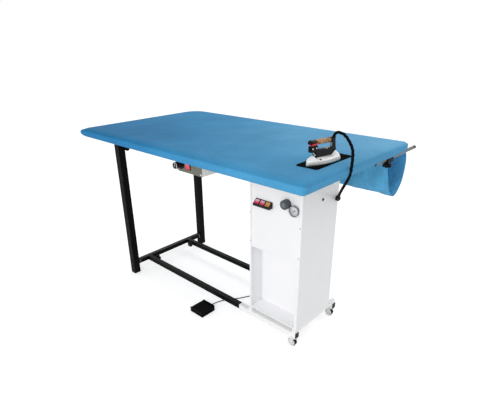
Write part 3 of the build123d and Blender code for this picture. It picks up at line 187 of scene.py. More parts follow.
class Graph:
    """A node tree whose new nodes are handed back as wires."""

    def __init__(self, tree: bpy.types.NodeTree) -> None:
        """Keeps the tree that new nodes go to."""
        self.tree = tree
        self._place: Optional[Wire] = None

    def node(
        self, kind: str, inputs: Optional[Mapping[Union[str, int], Value]] = None,
        output: Union[str, int] = 0, **settings: Any,
    ) -> Wire:
        """Adds a node: its settings first, then the values and links of its sockets.

        Args:
            kind: Blender's node type, without ShaderNode.
            inputs: Numbers, colours or wires by socket name or number.
            output: The output socket to hand back.
            **settings: The node's settings by name.

        Returns:
            The chosen output.
        """
        made = self.tree.nodes.new("ShaderNode" + kind)
        for key, value in settings.items():
            setattr(made, key, value)
        for key, value in (inputs or {}).items():
            self.feed(made.inputs[key], value)
        return Wire(self, made.outputs[output])

    def feed(self, socket: bpy.types.NodeSocket, value: Value) -> None:
        """Links a wire to a socket, or sets the socket's own value.

        Args:
            socket: An input socket.
            value: A wire, a number, a vector or a colour without its alpha.
        """
        if isinstance(value, Wire):
            self.tree.links.new(value.socket, socket)
        elif isinstance(value, (int, float)):
            socket.default_value = value
        else:
            room = len(socket.default_value)
            socket.default_value = (*value, 1.0)[:room] if len(value) < room else value

    def math(self, operation: str, *values: Value) -> Wire:
        """Adds one Math node on one or two values."""
        return self.node("Math", dict(enumerate(values)), operation=operation)

    def place(self) -> Wire:
        """Adds the node of the object coordinates once.

        Returns:
            The coordinates.
        """
        if self._place is None:
            self._place = self.node("TexCoord", output="Object")
        return self._place

    def axes(self, vector: Optional[Wire] = None) -> list[Wire]:
        """The three numbers of a vector, or of the object coordinates."""
        outputs = self.node("SeparateXYZ", {0: vector or self.place()}).socket.node.outputs
        return [Wire(self, output) for output in outputs]

    def noise(self, scale: float, detail: float = 3.0, rough: float = 0.5, stretch: Point = EVEN) -> Wire:
        """Cloudy noise on the object coordinates.

        Args:
            scale: Size of the pattern, greater for a finer one.
            detail: Layers of finer noise.
            rough: Weight of the finer layers.
            stretch: Scale of the coordinates along X, Y and Z.

        Returns:
            The noise, about 0.5 in the middle.
        """
        where = self.place()
        if stretch != EVEN:
            where = self.node("Mapping", {"Vector": where, "Scale": stretch})
        sockets = {"Vector": where, "Scale": scale, "Detail": detail, "Roughness": rough}
        return self.node("TexNoise", sockets)

    def wave(self, value: Wire, pitch: float) -> Wire:
        """Sine of a length that repeats at a pitch."""
        return self.math("SINE", value * (2 * math.pi / pitch))

    def step(self, value: Wire, low: float, high: float) -> Wire:
        """Soft step from 0 at one value to 1 at another."""
        sockets = {"Value": value, "From Min": low, "From Max": high}
        return self.node("MapRange", sockets, interpolation_type="SMOOTHSTEP")

    def near(self, distance: Wire, low: float, high: float) -> Wire:
        """One up to a distance and 0 beyond another."""
        return 1.0 - self.step(distance, low, high)

    def mix(self, share: Value, first: Value, second: Value) -> Wire:
        """Colour between two colours."""
        return self.node("Mix", {0: share, 6: first, 7: second}, 2, data_type="RGBA")

    def shade(self, colour: Value, share: Wire, depth: float) -> Wire:
        """Makes a colour darker and lighter round itself.

        Args:
            colour: The colour.
            share: A pattern about 0.5 in the middle.
            depth: How far the colour's brightness goes each way.

        Returns:
            The patterned colour.
        """
        ends = {"From Min": 0.25, "From Max": 0.75, "To Min": 1 - depth, "To Max": 1 + depth}
        spread = self.node("MapRange", {"Value": share, **ends})
        return self.node("VectorMath", {0: colour, "Scale": spread}, operation="SCALE")

    def bump(self, height: Wire, strength: float, distance: float) -> Wire:
        """Normal pushed about by a height."""
        return self.node("Bump", {"Height": height, "Strength": strength, "Distance": distance})


class Surface(Graph):
    """Graph of a new material, with its Principled shader."""

    def __init__(self, name: str) -> None:
        """Makes the material.

        Args:
            name: The material's name.
        """
        self.material = bpy.data.materials.new(name)
        self.material.use_nodes = True
        super().__init__(self.material.node_tree)
        kinds = {node.type: node for node in self.tree.nodes}
        self.shader = kinds["BSDF_PRINCIPLED"]
        self.end = kinds["OUTPUT_MATERIAL"]

    def set(self, **sockets: Value) -> None:
        """Feeds the shader's sockets, with _ for each space in a name."""
        for name, value in sockets.items():
            self.feed(self.shader.inputs[name.replace("_", " ")], value)


# Finishes


class Finish:
    """What a surface is made of. Each kind paints its own graph."""

    def paint(self, graph: Surface) -> None:
        """Adds the finish's nodes.

        Args:
            graph: The graph of a new material.
        """
        raise NotImplementedError

    def material(self, name: str) -> Material:
        """Makes the finish's material.

        Args:
            name: The material's name.

        Returns:
            The material.
        """
        surface = Surface(name)
        self.paint(surface)
        return surface.material


@dataclass(frozen=True)
class WovenCloth(Finish):
    """Dyed plain-weave cloth with painted light: darker at the front left, lighter to the rear and right,
    with a brighter band below a seam.

    Each pair holds the colours at the left and at the right.
    """

    front: tuple[Colour, Colour]
    rear: tuple[Colour, Colour]
    band: tuple[Colour, Colour]
    seam_height: float
    light_ramp_along: tuple[float, float] = (-0.45, 0.65)
    light_ramp_across: tuple[float, float] = (-0.46, 0.30)
    thread: float = 0.0012
    mottle: float = 0.08
    sheen: float = 0.06

    def paint(self, graph: Surface) -> None:
        """Adds the threads, the painted light ramps, the painted lit band and the seam."""
        x, y, z = graph.axes()
        threads = graph.wave(x, self.thread) + graph.wave(y, self.thread) + graph.wave(z, self.thread)
        cloudy = graph.noise(5.0, 4.0, 0.6)
        fine = graph.noise(260.0, 2.0, 0.7)
        seam = graph.near(abs(z - self.seam_height), 0.0003, 0.0011)
        on_top = graph.step(z, self.seam_height - 0.012, self.seam_height + 0.004)
        along = graph.step(x + (cloudy - 0.5) * 0.3, *self.light_ramp_along)
        across = graph.step(y + (cloudy - 0.5) * 0.2, *self.light_ramp_across)
        # Painted light: the top's colour grows lighter to the rear and right, and the band below the seam is
        # painted brighter than the top.
        top = graph.mix(across, graph.mix(along, *self.front), graph.mix(along, *self.rear))
        base = graph.mix(on_top, graph.mix(along, *self.band), top)
        for pattern in (cloudy, graph.noise(95.0, 3.0, 0.7), fine):
            base = graph.shade(base, pattern, self.mottle)
        height = threads * 0.08 + fine * 0.35 + graph.noise(14.0) * 3.2 - seam * 0.5
        graph.set(
            Base_Color=graph.mix(seam * 0.12, base, darker(self.front[0], 0.4)),
            Roughness=0.82, Specular_IOR_Level=0.12, Sheen_Weight=self.sheen, Sheen_Roughness=0.5,
            Normal=graph.bump(height, 0.35, 0.0012),
        )


@dataclass(frozen=True)
class TroughCloth(Finish):
    """Thin woven cloth with sewn hems, patterned on its own length and width."""

    colour: Colour
    hems: tuple[float, float]
    thread: float = 0.001
    stitch_pitch: float = 0.0035

    def paint(self, graph: Surface) -> None:
        """Adds the threads, the folds with their painted shade, and the stitches."""
        along, across, _ = graph.axes(graph.node("UVMap", uv_map="cloth"))
        threads = graph.wave(along, self.thread) + graph.wave(across, self.thread)
        crease_relief_and_shade = graph.noise(16.0, 5.0, 0.65, (1.0, 1.0, 0.45))
        near = [graph.near(abs(across - hem), 0.0004, 0.0012) for hem in self.hems]
        hems = near[0] + near[1]
        stitch = hems * (graph.wave(along, self.stitch_pitch) > -0.3)
        base = graph.shade(self.colour, graph.noise(6.0, 4.0, 0.6), 0.16)
        # Painted shade: the folds' noise darkens the colour in their hollows and lightens it on their ridges.
        base = graph.shade(base, crease_relief_and_shade, 0.3)
        base = graph.shade(base, graph.noise(300.0, 2.0), 0.05)
        height = threads * 0.08 + graph.noise(30.0) * 1.2 + crease_relief_and_shade * 14.0 - hems * 0.8
        graph.set(
            Base_Color=graph.mix(stitch * 0.5, base, darker(self.colour, 0.55)),
            Roughness=0.85, Specular_IOR_Level=0.15, Sheen_Weight=0.1,
            Normal=graph.bump(height, 0.6, 0.0016),
        )


@dataclass(frozen=True)
class PowderCoat(Finish):
    """Baked powder paint with its fine orange peel, painted lighter on what faces up as painted top light."""

    colour: Colour
    roughness: float = 0.42
    peel: float = 0.18
    variation: float = 0.02
    gloss: float = 0.4
    painted_top_light: Optional[Colour] = None

    def paint(self, graph: Surface) -> None:
        """Adds the paint's clouds, its painted top light and its peel."""
        blotches = graph.noise(70.0, 3.0, 0.6)
        base: Value = self.colour
        # Painted top light: faces that point up are mixed towards a lighter colour.
        if self.painted_top_light:
            up = graph.axes(graph.node("NewGeometry", output="Normal"))[2]
            base = graph.mix(graph.step(up + (blotches - 0.5) * 0.3, 0.3, 0.8), base, self.painted_top_light)
        for pattern in (graph.noise(9.0), blotches):
            base = graph.shade(base, pattern, self.variation)
        graph.set(
            Base_Color=base, Roughness=self.roughness + (blotches - 0.5) * 0.12, Specular_IOR_Level=self.gloss,
            Normal=graph.bump(graph.noise(900.0, 2.0, 0.6), self.peel, 0.0004),
        )


@dataclass(frozen=True)
class BoxPaint(Finish):
    """Box coloured darker on its front face and light on its sides, with a black switch frame."""

    front: Colour
    sides: Colour
    frame: Colour
    front_face: float
    frame_face: float

    def paint(self, graph: Surface) -> None:
        """Adds the three colours, parted at two Y places."""
        y = graph.axes()[1]
        base = graph.mix(y < self.front_face, self.sides, self.front)
        base = graph.mix(y < self.frame_face, base, self.frame)
        cloudy = graph.noise(30.0, 4.0, 0.6)
        graph.set(
            Base_Color=graph.shade(base, cloudy, 0.04),
            Roughness=0.42 + (cloudy - 0.5) * 0.15, Specular_IOR_Level=0.3,
            Normal=graph.bump(graph.noise(900.0, 2.0, 0.6), 0.18, 0.0004),
        )


@dataclass(frozen=True)
class CastPaint(Finish):
    """White enamel over a casting whose lower skirt is uncoated, streaked and painted greyer as shade on its
    steep lower wall.
    """

    colour: Colour
    skirt: Colour
    skirt_top: float

    def paint(self, graph: Surface) -> None:
        """Adds the enamel and the uncoated, streaked skirt with its painted shade."""
        z = graph.axes()[2]
        streaks = graph.noise(60.0, 4.0, 0.7, (1.0, 1.0, 0.25))
        # The skirt's grey is partly its uncoated metal and partly painted shade on the steep lower wall.
        bare_shaded_skirt = graph.near(z + (streaks - 0.5) * 0.006, self.skirt_top - 0.0015, self.skirt_top + 0.0015)
        enamel = graph.shade(self.colour, graph.noise(25.0), 0.02)
        graph.set(
            Base_Color=graph.mix(bare_shaded_skirt, enamel, graph.shade(self.skirt, streaks, 0.1)),
            Roughness=0.3 + bare_shaded_skirt * 0.15 + (streaks - 0.5) * 0.1, Specular_IOR_Level=0.4,
            Normal=graph.bump(graph.noise(700.0, 2.0, 0.6), 0.12, 0.0003),
        )


@dataclass(frozen=True)
class CasterTread(Finish):
    """Black tread about a light wheel disc with a ring groove and an axle end."""

    middle: tuple[float, float]
    tread: Colour
    disc: Colour
    tread_radius: float = 0.0172
    groove_radius: float = 0.0118
    axle_radius: float = 0.0035

    def paint(self, graph: Surface) -> None:
        """Adds the disc, the groove with its painted shade, the axle and the tread by their radius."""
        x, _, z = graph.axes()
        across, up = x - self.middle[0], z - self.middle[1]
        radius = graph.math("SQRT", across * across + up * up)
        outer = graph.step(radius, self.tread_radius - 0.0003, self.tread_radius + 0.0003)
        groove = graph.near(abs(radius - self.groove_radius), 0.0003, 0.0009)
        axle = graph.near(radius, self.axle_radius, self.axle_radius + 0.0004)
        dirt = graph.noise(180.0, 4.0, 0.7)
        # The ring groove is darkened as painted shade, besides its bump.
        disc = graph.mix(groove * 0.6 + axle * 0.5, graph.shade(self.disc, dirt, 0.08), (0.12, 0.12, 0.13))
        graph.set(
            Base_Color=graph.mix(outer, disc, graph.shade(self.tread, dirt, 0.15)),
            Roughness=0.4 + outer * 0.3 + (dirt - 0.5) * 0.1, Specular_IOR_Level=0.2,
            Normal=graph.bump(dirt * 0.5 - groove, 0.3, 0.0005),
        )


@dataclass(frozen=True)
class MouldedPlastic(Finish):
    """Moulded plastic with a fine spark-eroded grain."""

    colour: Colour
    roughness: float = 0.45
    grain: float = 0.25
    gloss: float = 0.2
    scale: float = 1400.0

    def paint(self, graph: Surface) -> None:
        """Adds the plastic's clouds and its grain."""
        grain = graph.noise(self.scale, 2.0, 0.7)
        graph.set(
            Base_Color=graph.shade(self.colour, graph.noise(40.0), 0.06),
            Roughness=self.roughness + (grain - 0.5) * 0.15, Specular_IOR_Level=self.gloss,
            Normal=graph.bump(grain, self.grain, 0.0002),
        )


@dataclass(frozen=True)
class Metal(Finish):
    """Bare metal with brush lines along one way and small stains."""

    colour: Colour
    roughness: float = 0.28
    brush: Point = EVEN
    depth: float = 0.15
    stain: float = 0.05

    def paint(self, graph: Surface) -> None:
        """Adds the stains and the brush lines."""
        lines = graph.noise(500.0, 3.0, 0.6, self.brush)
        stains = graph.noise(35.0, 4.0, 0.6)
        graph.set(
            Base_Color=graph.shade(self.colour, stains, self.stain), Metallic=1.0,
            Roughness=self.roughness + (lines - 0.5) * 0.2 + (stains - 0.5) * 0.1,
            Normal=graph.bump(lines, self.depth, 0.0003),
        )


@dataclass(frozen=True)
class Rubber(Finish):
    """Dull rubber with a worn bloom."""

    colour: Colour
    roughness: float = 0.75
    texture: float = 400.0
    gloss: float = 0.1

    def paint(self, graph: Surface) -> None:
        """Adds the bloom and the pores."""
        bloom = graph.noise(25.0, 4.0, 0.6)
        graph.set(
            Base_Color=graph.shade(self.colour, bloom, 0.12),
            Roughness=self.roughness + (bloom - 0.5) * 0.15, Specular_IOR_Level=self.gloss,
            Normal=graph.bump(graph.noise(self.texture, 3.0, 0.7), 0.3, 0.0004),
        )


@dataclass(frozen=True)
class Cork(Finish):
    """Pressed cork with light and dark granules."""

    light: Colour
    dark: Colour
    grain: float = 270.0

    def paint(self, graph: Surface) -> None:
        """Adds the granules as cells of different shades."""
        cells = graph.node("TexVoronoi", {"Vector": graph.place(), "Scale": self.grain}, "Color")
        shade = graph.axes(cells)[0]
        share = graph.step(shade * 0.8 + graph.noise(900.0, 2.0) * 0.4, 0.25, 0.85)
        graph.set(
            Base_Color=graph.mix(share, self.dark, self.light), Roughness=0.8, Specular_IOR_Level=0.25,
            Normal=graph.bump(share, 0.4, 0.0006),
        )


@dataclass(frozen=True)
class BraidedCover(Finish):
    """Braided textile cover of a hose, patterned round and along it."""

    colour: Colour
    fleck: Colour
    strands: float = 8.0
    pitch: float = 0.012

    def paint(self, graph: Surface) -> None:
        """Adds two crossing sets of strands and light flecks."""
        around, along, _ = graph.axes(graph.node("UVMap", uv_map="cord"))
        around, along = around * self.strands, along / self.pitch
        braid = graph.wave(around + along, 1.0) * graph.wave(around - along, 1.0)
        flecks = graph.step(braid + graph.noise(700.0, 2.0), 0.9, 1.6)
        graph.set(
            Base_Color=graph.mix(flecks * 0.6, self.colour, self.fleck),
            Roughness=0.85, Specular_IOR_Level=0.06, Normal=graph.bump(braid, 0.5, 0.0006),
        )


@dataclass(frozen=True)
class RockerFace(Finish):
    """Tinted plastic of a lit rocker: pale upper half and black side walls."""

    colour: Colour
    pale: Colour
    low: Point
    high: Point
    wall: float = 0.0013
    roughness: float = 0.22
    wall_colour: Colour = srgb(24, 24, 26)

    def paint(self, graph: Surface) -> None:
        """Adds the lit half, the dark half and the walls."""
        x, _, z = graph.axes()
        centre, _, middle = ((a + b) / 2 for a, b in zip(self.low, self.high))
        half = (self.high[0] - self.low[0]) / 2
        inner = graph.noise(120.0, 2.0)
        upper = graph.step(z + (inner - 0.5) * 0.004, middle - 0.001, middle + 0.004)
        face = graph.shade(graph.mix(upper, self.colour, self.pale), inner, 0.08)
        wall = graph.step(abs(x - centre), half - self.wall, half - self.wall * 0.7)
        graph.set(
            Base_Color=graph.mix(wall, face, self.wall_colour),
            Roughness=self.roughness + (inner - 0.5) * 0.08, Coat_Weight=0.4, Specular_IOR_Level=0.5,
            Normal=graph.bump(graph.noise(500.0), 0.08, 0.0003),
        )


@dataclass(frozen=True)
class ClearLens(Finish):
    """Clear lens that lets the dial show through."""

    alpha: float = 0.12

    def paint(self, graph: Surface) -> None:
        """Adds the glass and its faint smudges."""
        smudge = graph.noise(60.0)
        graph.set(
            Base_Color=(0.9, 0.95, 0.97), Roughness=0.04 + (smudge - 0.5) * 0.04,
            Alpha=self.alpha + (smudge - 0.5) * 0.03, Normal=graph.bump(smudge, 0.03, 0.0002),
        )


@dataclass(frozen=True)
class PrintedDial(Finish):
    """Dial face with a ring of tick marks about its centre."""

    centre: Point
    ground: Colour
    ink: Colour
    inner: float
    outer: float
    ticks: float
    bold_ticks: float
    opening_share: float = 0.75
    rim: float = 0.0006

    def paint(self, graph: Surface) -> None:
        """Adds fine and bold ticks and a thin rim, open at the foot."""
        moved = graph.node("VectorMath", {0: graph.place(), 1: self.centre}, operation="SUBTRACT")
        x, _, z = graph.axes(moved)
        radius = graph.math("SQRT", x * x + z * z)
        angle = graph.math("ARCTAN2", x, z)
        fine = graph.math("COSINE", angle * self.ticks) > 0.86
        bold = graph.math("COSINE", angle * self.bold_ticks) > 0.95
        inside = radius < self.outer
        fine = fine * (radius > (self.inner + self.outer) / 2)
        bold = bold * (radius > self.inner)
        mark = graph.math("MAXIMUM", fine, graph.math("MAXIMUM", bold, radius > self.outer - self.rim))
        mark = mark * inside * (abs(angle) * (1 / math.pi) < self.opening_share)
        graph.set(
            Base_Color=graph.mix(mark, graph.shade(self.ground, graph.noise(200.0), 0.03), self.ink),
            Roughness=0.5, Normal=graph.bump(mark, 0.15, 0.0001),
        )


# Modelling by hand


class Bench:
    """Blender's modelling operators on one piece at a time."""

    @staticmethod
    def clear() -> None:
        """Leaves edit mode with nothing selected."""
        if bpy.context.object and bpy.context.object.mode != "OBJECT":
            bpy.ops.object.mode_set(mode="OBJECT")
        bpy.ops.object.select_all(action="DESELECT")

    @staticmethod
    def hold(piece: Piece) -> None:
        """Selects and activates one piece alone.

        Args:
            piece: The piece.
        """
        Bench.clear()
        piece.select_set(True)
        bpy.context.view_layer.objects.active = piece

    @staticmethod
    def named(name: str) -> Piece:
        """Names the active piece and puts its place into its mesh.

        Args:
            name: The name of the piece and its mesh.

        Returns:
            The piece.
        """
        piece = bpy.context.object
        piece.name = piece.data.name = name
        bpy.ops.object.transform_apply(location=True, rotation=True, scale=True)
        return piece

    @staticmethod
    def edit(piece: Piece, mode: str = "FACE") -> None:
        """Opens a piece's mesh with nothing in it selected.

        Args:
            piece: The piece.
            mode: What can be selected: VERT, EDGE or FACE.
        """
        Bench.hold(piece)
        bpy.ops.object.mode_set(mode="EDIT")
        bpy.ops.mesh.select_mode(type=mode)
        bpy.ops.mesh.select_all(action="DESELECT")

    @staticmethod
    def pick_all() -> None:
        """Selects all of the open mesh."""
        bpy.ops.mesh.select_all(action="SELECT")

    @staticmethod
    def pick(piece: Piece, kind: str, test: Callable[[Any], bool]) -> None:
        """Selects the elements of the open mesh that pass a test.

        Args:
            piece: The piece in edit mode.
            kind: faces, edges or verts.
            test: Says whether an element is wanted.
        """
        mesh = bmesh.from_edit_mesh(piece.data)
        for element in getattr(mesh, kind):
            if test(element):
                element.select_set(True)
        mesh.select_flush_mode()
        bmesh.update_edit_mesh(piece.data)

    @staticmethod
    def draw_out(x: float = 0.0, z: float = 0.0) -> None:
        """Draws the picked faces of the open mesh out along X or Z."""
        bpy.ops.mesh.extrude_region_move(TRANSFORM_OT_translate={"value": (x, 0, z)})

    @staticmethod
    def slice(axis: int, places: Sequence[float]) -> None:
        """Cuts the open mesh right through.

        Args:
            axis: 0, 1 or 2 for X, Y or Z.
            places: Where to cut along the axis.
        """
        for place in places:
            spot, normal = [0.0] * 3, [0.0] * 3
            spot[axis], normal[axis] = place, 1.0
            Bench.pick_all()
            bpy.ops.mesh.bisect(plane_co=spot, plane_no=normal)

    @staticmethod
    def done(piece: Piece, outward: bool = True, smooth: float = 35.0) -> Piece:
        """Merges doubles and leaves edit mode.

        Args:
            piece: The piece.
            outward: Whether to point the faces outwards.
            smooth: Angle in degrees up to which edges are smooth.

        Returns:
            The piece.
        """
        if piece.mode != "EDIT":
            Bench.edit(piece)
        Bench.pick_all()
        bpy.ops.mesh.remove_doubles(threshold=1e-6)
        if outward:
            bpy.ops.mesh.normals_make_consistent(inside=False)
        bpy.ops.object.mode_set(mode="OBJECT")
        bpy.ops.object.shade_smooth_by_angle(angle=math.radians(smooth))
        return piece

    @staticmethod
    def modify(piece: Piece, kind: str, **settings: Any) -> Piece:
        """Adds one modifier and applies it.

        Args:
            piece: The piece.
            kind: Blender's modifier type.
            **settings: The modifier's settings by name.

        Returns:
            The piece.
        """
        Bench.hold(piece)
        modifier = piece.modifiers.new(kind.title(), kind)
        for key, value in settings.items():
            setattr(modifier, key, value)
        bpy.ops.object.modifier_apply(modifier=modifier.name)
        return piece

    @staticmethod
    def cut(piece: Piece, cutter: Piece) -> Piece:
        """Takes a cutter's space out of a piece and deletes the cutter.

        Args:
            piece: The piece.
            cutter: The cutter.

        Returns:
            The piece.
        """
        Bench.modify(piece, "BOOLEAN", operation="DIFFERENCE", object=cutter, solver="EXACT")
        Bench.hold(cutter)
        bpy.ops.object.delete()
        return Bench.done(piece)

    @staticmethod
    def softened(piece: Piece, width: float, segments: int = 3) -> Piece:
        """Rounds all sharp edges of a piece.

        Args:
            piece: The piece.
            width: The rounding's width.
            segments: Steps across the rounding.

        Returns:
            The piece.
        """
        limit = {"limit_method": "ANGLE", "angle_limit": math.radians(40)}
        Bench.modify(piece, "BEVEL", width=width, segments=segments, **limit)
        return Bench.done(piece, smooth=50.0)

    @staticmethod
    def twin(piece: Piece, name: str, shift: Point) -> Piece:
        """Copies a piece with its mesh.

        Args:
            piece: The piece.
            name: The copy's name.
            shift: How far the copy is moved.

        Returns:
            The copy.
        """
        Bench.hold(piece)
        bpy.ops.object.duplicate(linked=False)
        bpy.ops.transform.translate(value=shift)
        return Bench.named(name)

    @staticmethod
    def polygon(points: Sequence[Point], fill: str, mode: str = "FACE") -> Piece:
        """Opens a new polygon with all of it selected.

        Args:
            points: Its corners.
            fill: NGON for a face or NOTHING for edges alone.
            mode: What can be selected, as EDGE or FACE.

        Returns:
            The piece in edit mode.
        """
        Bench.clear()
        bpy.ops.mesh.primitive_circle_add(vertices=len(points), radius=1, fill_type=fill)
        piece = bpy.context.object
        for vertex, place in zip(piece.data.vertices, points):
            vertex.co = place
        Bench.edit(piece, mode)
        Bench.pick_all()
        return piece

    @staticmethod
    def prism(name: str, outline: Pairs, middle: float, half: float) -> Piece:
        """A YZ outline drawn out to both sides of an X place.

        Args:
            name: The piece's name.
            outline: Y and Z of each corner.
            middle: The X place of its middle.
            half: Half of its width.

        Returns:
            The closed piece.
        """
        low, high = middle - half, middle + half
        piece = Bench.polygon([(low, y, z) for y, z in outline], "NGON")
        Bench.draw_out(x=high - low)
        Bench.done(piece)
        return Bench.named(name)

    @staticmethod
    def skinned(name: str, rings: np.ndarray, smooth: float) -> Piece:
        """A closed skin drawn through rings of points, with both ends filled.

        Args:
            name: The piece's name.
            rings: The points, by ring and by place in the ring.
            smooth: Angle in degrees up to which edges are smooth.

        Returns:
            The closed piece.
        """
        Bench.clear()
        count, around = rings.shape[:2]
        bpy.ops.mesh.primitive_grid_add(x_subdivisions=around, y_subdivisions=count - 1, size=1)
        for vertex in bpy.context.object.data.vertices:
            column = round((vertex.co.x + 0.5) * around) % around
            vertex.co = rings[round((vertex.co.y + 0.5) * (count - 1)), column]
        piece = Bench.named(name)
        Bench.edit(piece, "EDGE")
        Bench.pick_all()
        bpy.ops.mesh.remove_doubles(threshold=1e-6)
        bpy.ops.mesh.select_all(action="DESELECT")
        bpy.ops.mesh.select_non_manifold()
        bpy.ops.mesh.fill_holes(sides=0)
        return Bench.done(piece, smooth=smooth)

    @staticmethod
    def turned(name: str, base: Point, axis: Union[Axis, Point], steps: Pairs, sides: int = 32) -> Piece:
        """A turned piece: a disc drawn out step by step along an axis.

        Args:
            name: The piece's name.
            base: Centre of the first disc.
            axis: The way the steps go.
            steps: Radius and distance from the base of each ring, first to last.
            sides: Sides of each ring.

        Returns:
            The closed piece.
        """
        Bench.clear()
        radius, rise = steps[0]
        bpy.ops.mesh.primitive_circle_add(
            vertices=sides, radius=radius, fill_type="NGON", location=(0, 0, rise)
        )
        piece = bpy.context.object
        Bench.edit(piece)
        Bench.pick_all()
        for next_radius, next_rise in steps[1:]:
            Bench.draw_out(z=next_rise - rise)
            share = next_radius / radius
            bpy.ops.transform.resize(value=(share, share, 1), center_override=(0, 0, 0))
            radius, rise = next_radius, next_rise
        return Bench.aimed(piece, name, base, axis)

    @staticmethod
    def ring(name: str, base: Point, axis: Union[Axis, Point], outline: Pairs, sides: int = 48) -> Piece:
        """A closed ring: an outline spun once round an axis.

        Args:
            name: The piece's name.
            base: The place on the axis that the rises are counted from.
            axis: The way it points.
            outline: Radius and rise of each corner.
            sides: Steps of the turn.

        Returns:
            The closed piece.
        """
        piece = Bench.polygon([(radius, 0.0, rise) for radius, rise in outline], "NOTHING", "EDGE")
        bpy.ops.mesh.spin(steps=sides, angle=2 * math.pi, center=(0, 0, 0), axis=(0, 0, 1))
        return Bench.aimed(piece, name, base, axis)

    @staticmethod
    def aimed(piece: Piece, name: str, base: Point, axis: Union[Axis, Point]) -> Piece:
        """Closes a piece made along +Z and points it along an axis.

        Args:
            piece: The piece.
            name: Its name.
            base: Where its zero goes.
            axis: The way it points.

        Returns:
            The piece.
        """
        bpy.ops.object.mode_set(mode="OBJECT")
        piece.rotation_mode = "QUATERNION"
        way = axis.value if isinstance(axis, Axis) else axis
        piece.rotation_quaternion = Vector((0, 0, 1)).rotation_difference(Vector(way))
        piece.location = base
        return Bench.done(Bench.named(name))


def dressed(piece: Piece, material: Material, body: str, node: str = "") -> Piece:
    """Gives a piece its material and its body.

    Args:
        piece: The piece.
        material: Its material.
        body: The CAD body that it moves with.
        node: The CAD node that it replaces, if it replaces one.

    Returns:
        The piece.
    """
    piece.data.materials.clear()
    piece.data.materials.append(material)
    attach(piece, body)
    if node:
        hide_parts(node)
    log.info("%s on %s with %s", piece.name, body, material.name)
    return piece


# Studio


@dataclass
class Camera:
    """The photograph's camera: a pinhole fitted to the table's corners."""

    place: Point = (1.40811, -1.51897, 1.29068)
    azimuth: float = 43.051
    drop: float = 24.624
    roll: float = -0.629
    lens: float = 29.88
    sensor: float = 36.0
    shift_x: float = 0.0137
    shift_y: float = 0.0574

    def build(self) -> None:
        """Makes the camera and hands the scene over to it."""
        a, e, r = (math.radians(v) for v in (self.azimuth, self.drop, self.roll))
        ahead = Vector((-math.sin(a) * math.cos(e), math.cos(a) * math.cos(e), -math.sin(e)))
        right = Vector((math.cos(a), math.sin(a), 0.0))
        up = right.cross(ahead)
        turned_right = math.cos(r) * right + math.sin(r) * up
        turned_up = -math.sin(r) * right + math.cos(r) * up
        data = bpy.data.cameras.new("camera")
        data.lens, data.sensor_width = self.lens, self.sensor
        data.shift_x, data.shift_y = self.shift_x, self.shift_y
        camera = bpy.data.objects.new("camera", data)
        bpy.context.scene.collection.objects.link(camera)
        turn = Matrix((turned_right, turned_up, -ahead)).transposed()
        camera.matrix_world = Matrix.Translation(self.place) @ turn.to_4x4()
        bpy.context.scene.camera = camera


@dataclass
class Studio:
    """Pale floor, soft lamps and a white surround."""

    floor_size: float = 90.0
    floor_height: float = -0.0005
    floor_glow: float = 0.5
    fill_level: float = 0.67
    key_power: float = 46.0
    rear_power: float = 30.0

    def _white_to_camera(self, graph: Graph) -> Wire:
        """Adds up the rays that see pure white.

        Args:
            graph: The surround's graph or the floor's.

        Returns:
            One for camera, glossy and transmission rays.
        """
        total = graph.node("LightPath", output="Is Camera Ray")
        rays = total.socket.node.outputs
        for name in ("Is Glossy Ray", "Is Transmission Ray"):
            values = {0: total, 1: Wire(graph, rays[name])}
            total = graph.node("Math", values, operation="ADD", use_clamp=True)
        return total

    def _world(self) -> None:
        """Even fill light that the camera sees as white."""
        world = bpy.data.worlds.new("surround")
        bpy.context.scene.world = world
        world.use_nodes = True
        graph = Graph(world.node_tree)
        fill = world.node_tree.nodes["Background"]
        graph.feed(fill.inputs["Color"], WHITE)
        graph.feed(fill.inputs["Strength"], self.fill_level)
        white = graph.node("Background", {"Color": WHITE})
        ends = {1: Wire(graph, fill.outputs[0]), 2: white}
        seen = graph.node("MixShader", {0: self._white_to_camera(graph), **ends})
        graph.feed(world.node_tree.nodes["World Output"].inputs["Surface"], seen)

    def _floor(self) -> None:
        """Pale floor that keeps a faint shadow on white."""
        Bench.clear()
        bpy.ops.mesh.primitive_plane_add(size=self.floor_size, location=(0, 0, self.floor_height))
        floor = Bench.named("floor")
        graph = Surface("floor_paper")
        graph.set(Base_Color=(0.82, 0.82, 0.82), Roughness=0.9, Specular_IOR_Level=0.1)
        plain = Wire(graph, graph.shader.outputs[0])
        glow = graph.node("Emission", {"Strength": self.floor_glow})
        both = graph.node("AddShader", {0: plain, 1: glow})
        seen = graph.node("MixShader", {0: self._white_to_camera(graph), 1: plain, 2: both})
        graph.feed(graph.end.inputs["Surface"], seen)
        floor.data.materials.append(graph.material)

    def _lamp(self, name: str, place: Point, aim: Point, size: float, power: float) -> None:
        """Adds a square soft lamp that looks at a point.

        Args:
            name: The lamp's name.
            place: Where it stands.
            aim: The point that it looks at.
            size: Its side.
            power: Its power in watts.
        """
        data = bpy.data.lights.new(name, "AREA")
        data.size, data.energy = size, power
        lamp = bpy.data.objects.new(name, data)
        bpy.context.scene.collection.objects.link(lamp)
        lamp.location = place
        lamp.rotation_mode = "QUATERNION"
        lamp.rotation_quaternion = (Vector(aim) - Vector(place)).to_track_quat("-Z", "Y")

    def build(self) -> None:
        """Makes the floor, the surround and the lamps."""
        bpy.context.scene.view_settings.view_transform = "Standard"
        self._world()
        self._floor()
        self._lamp("key_lamp", (1.0, -3.4, 1.7), (0.25, -0.1, 0.6), 2.4, self.key_power)
        self._lamp("rear_lamp", (0.6, 1.9, 2.8), (0.2, 0.0, 0.8), 2.2, self.rear_power)


# Cords


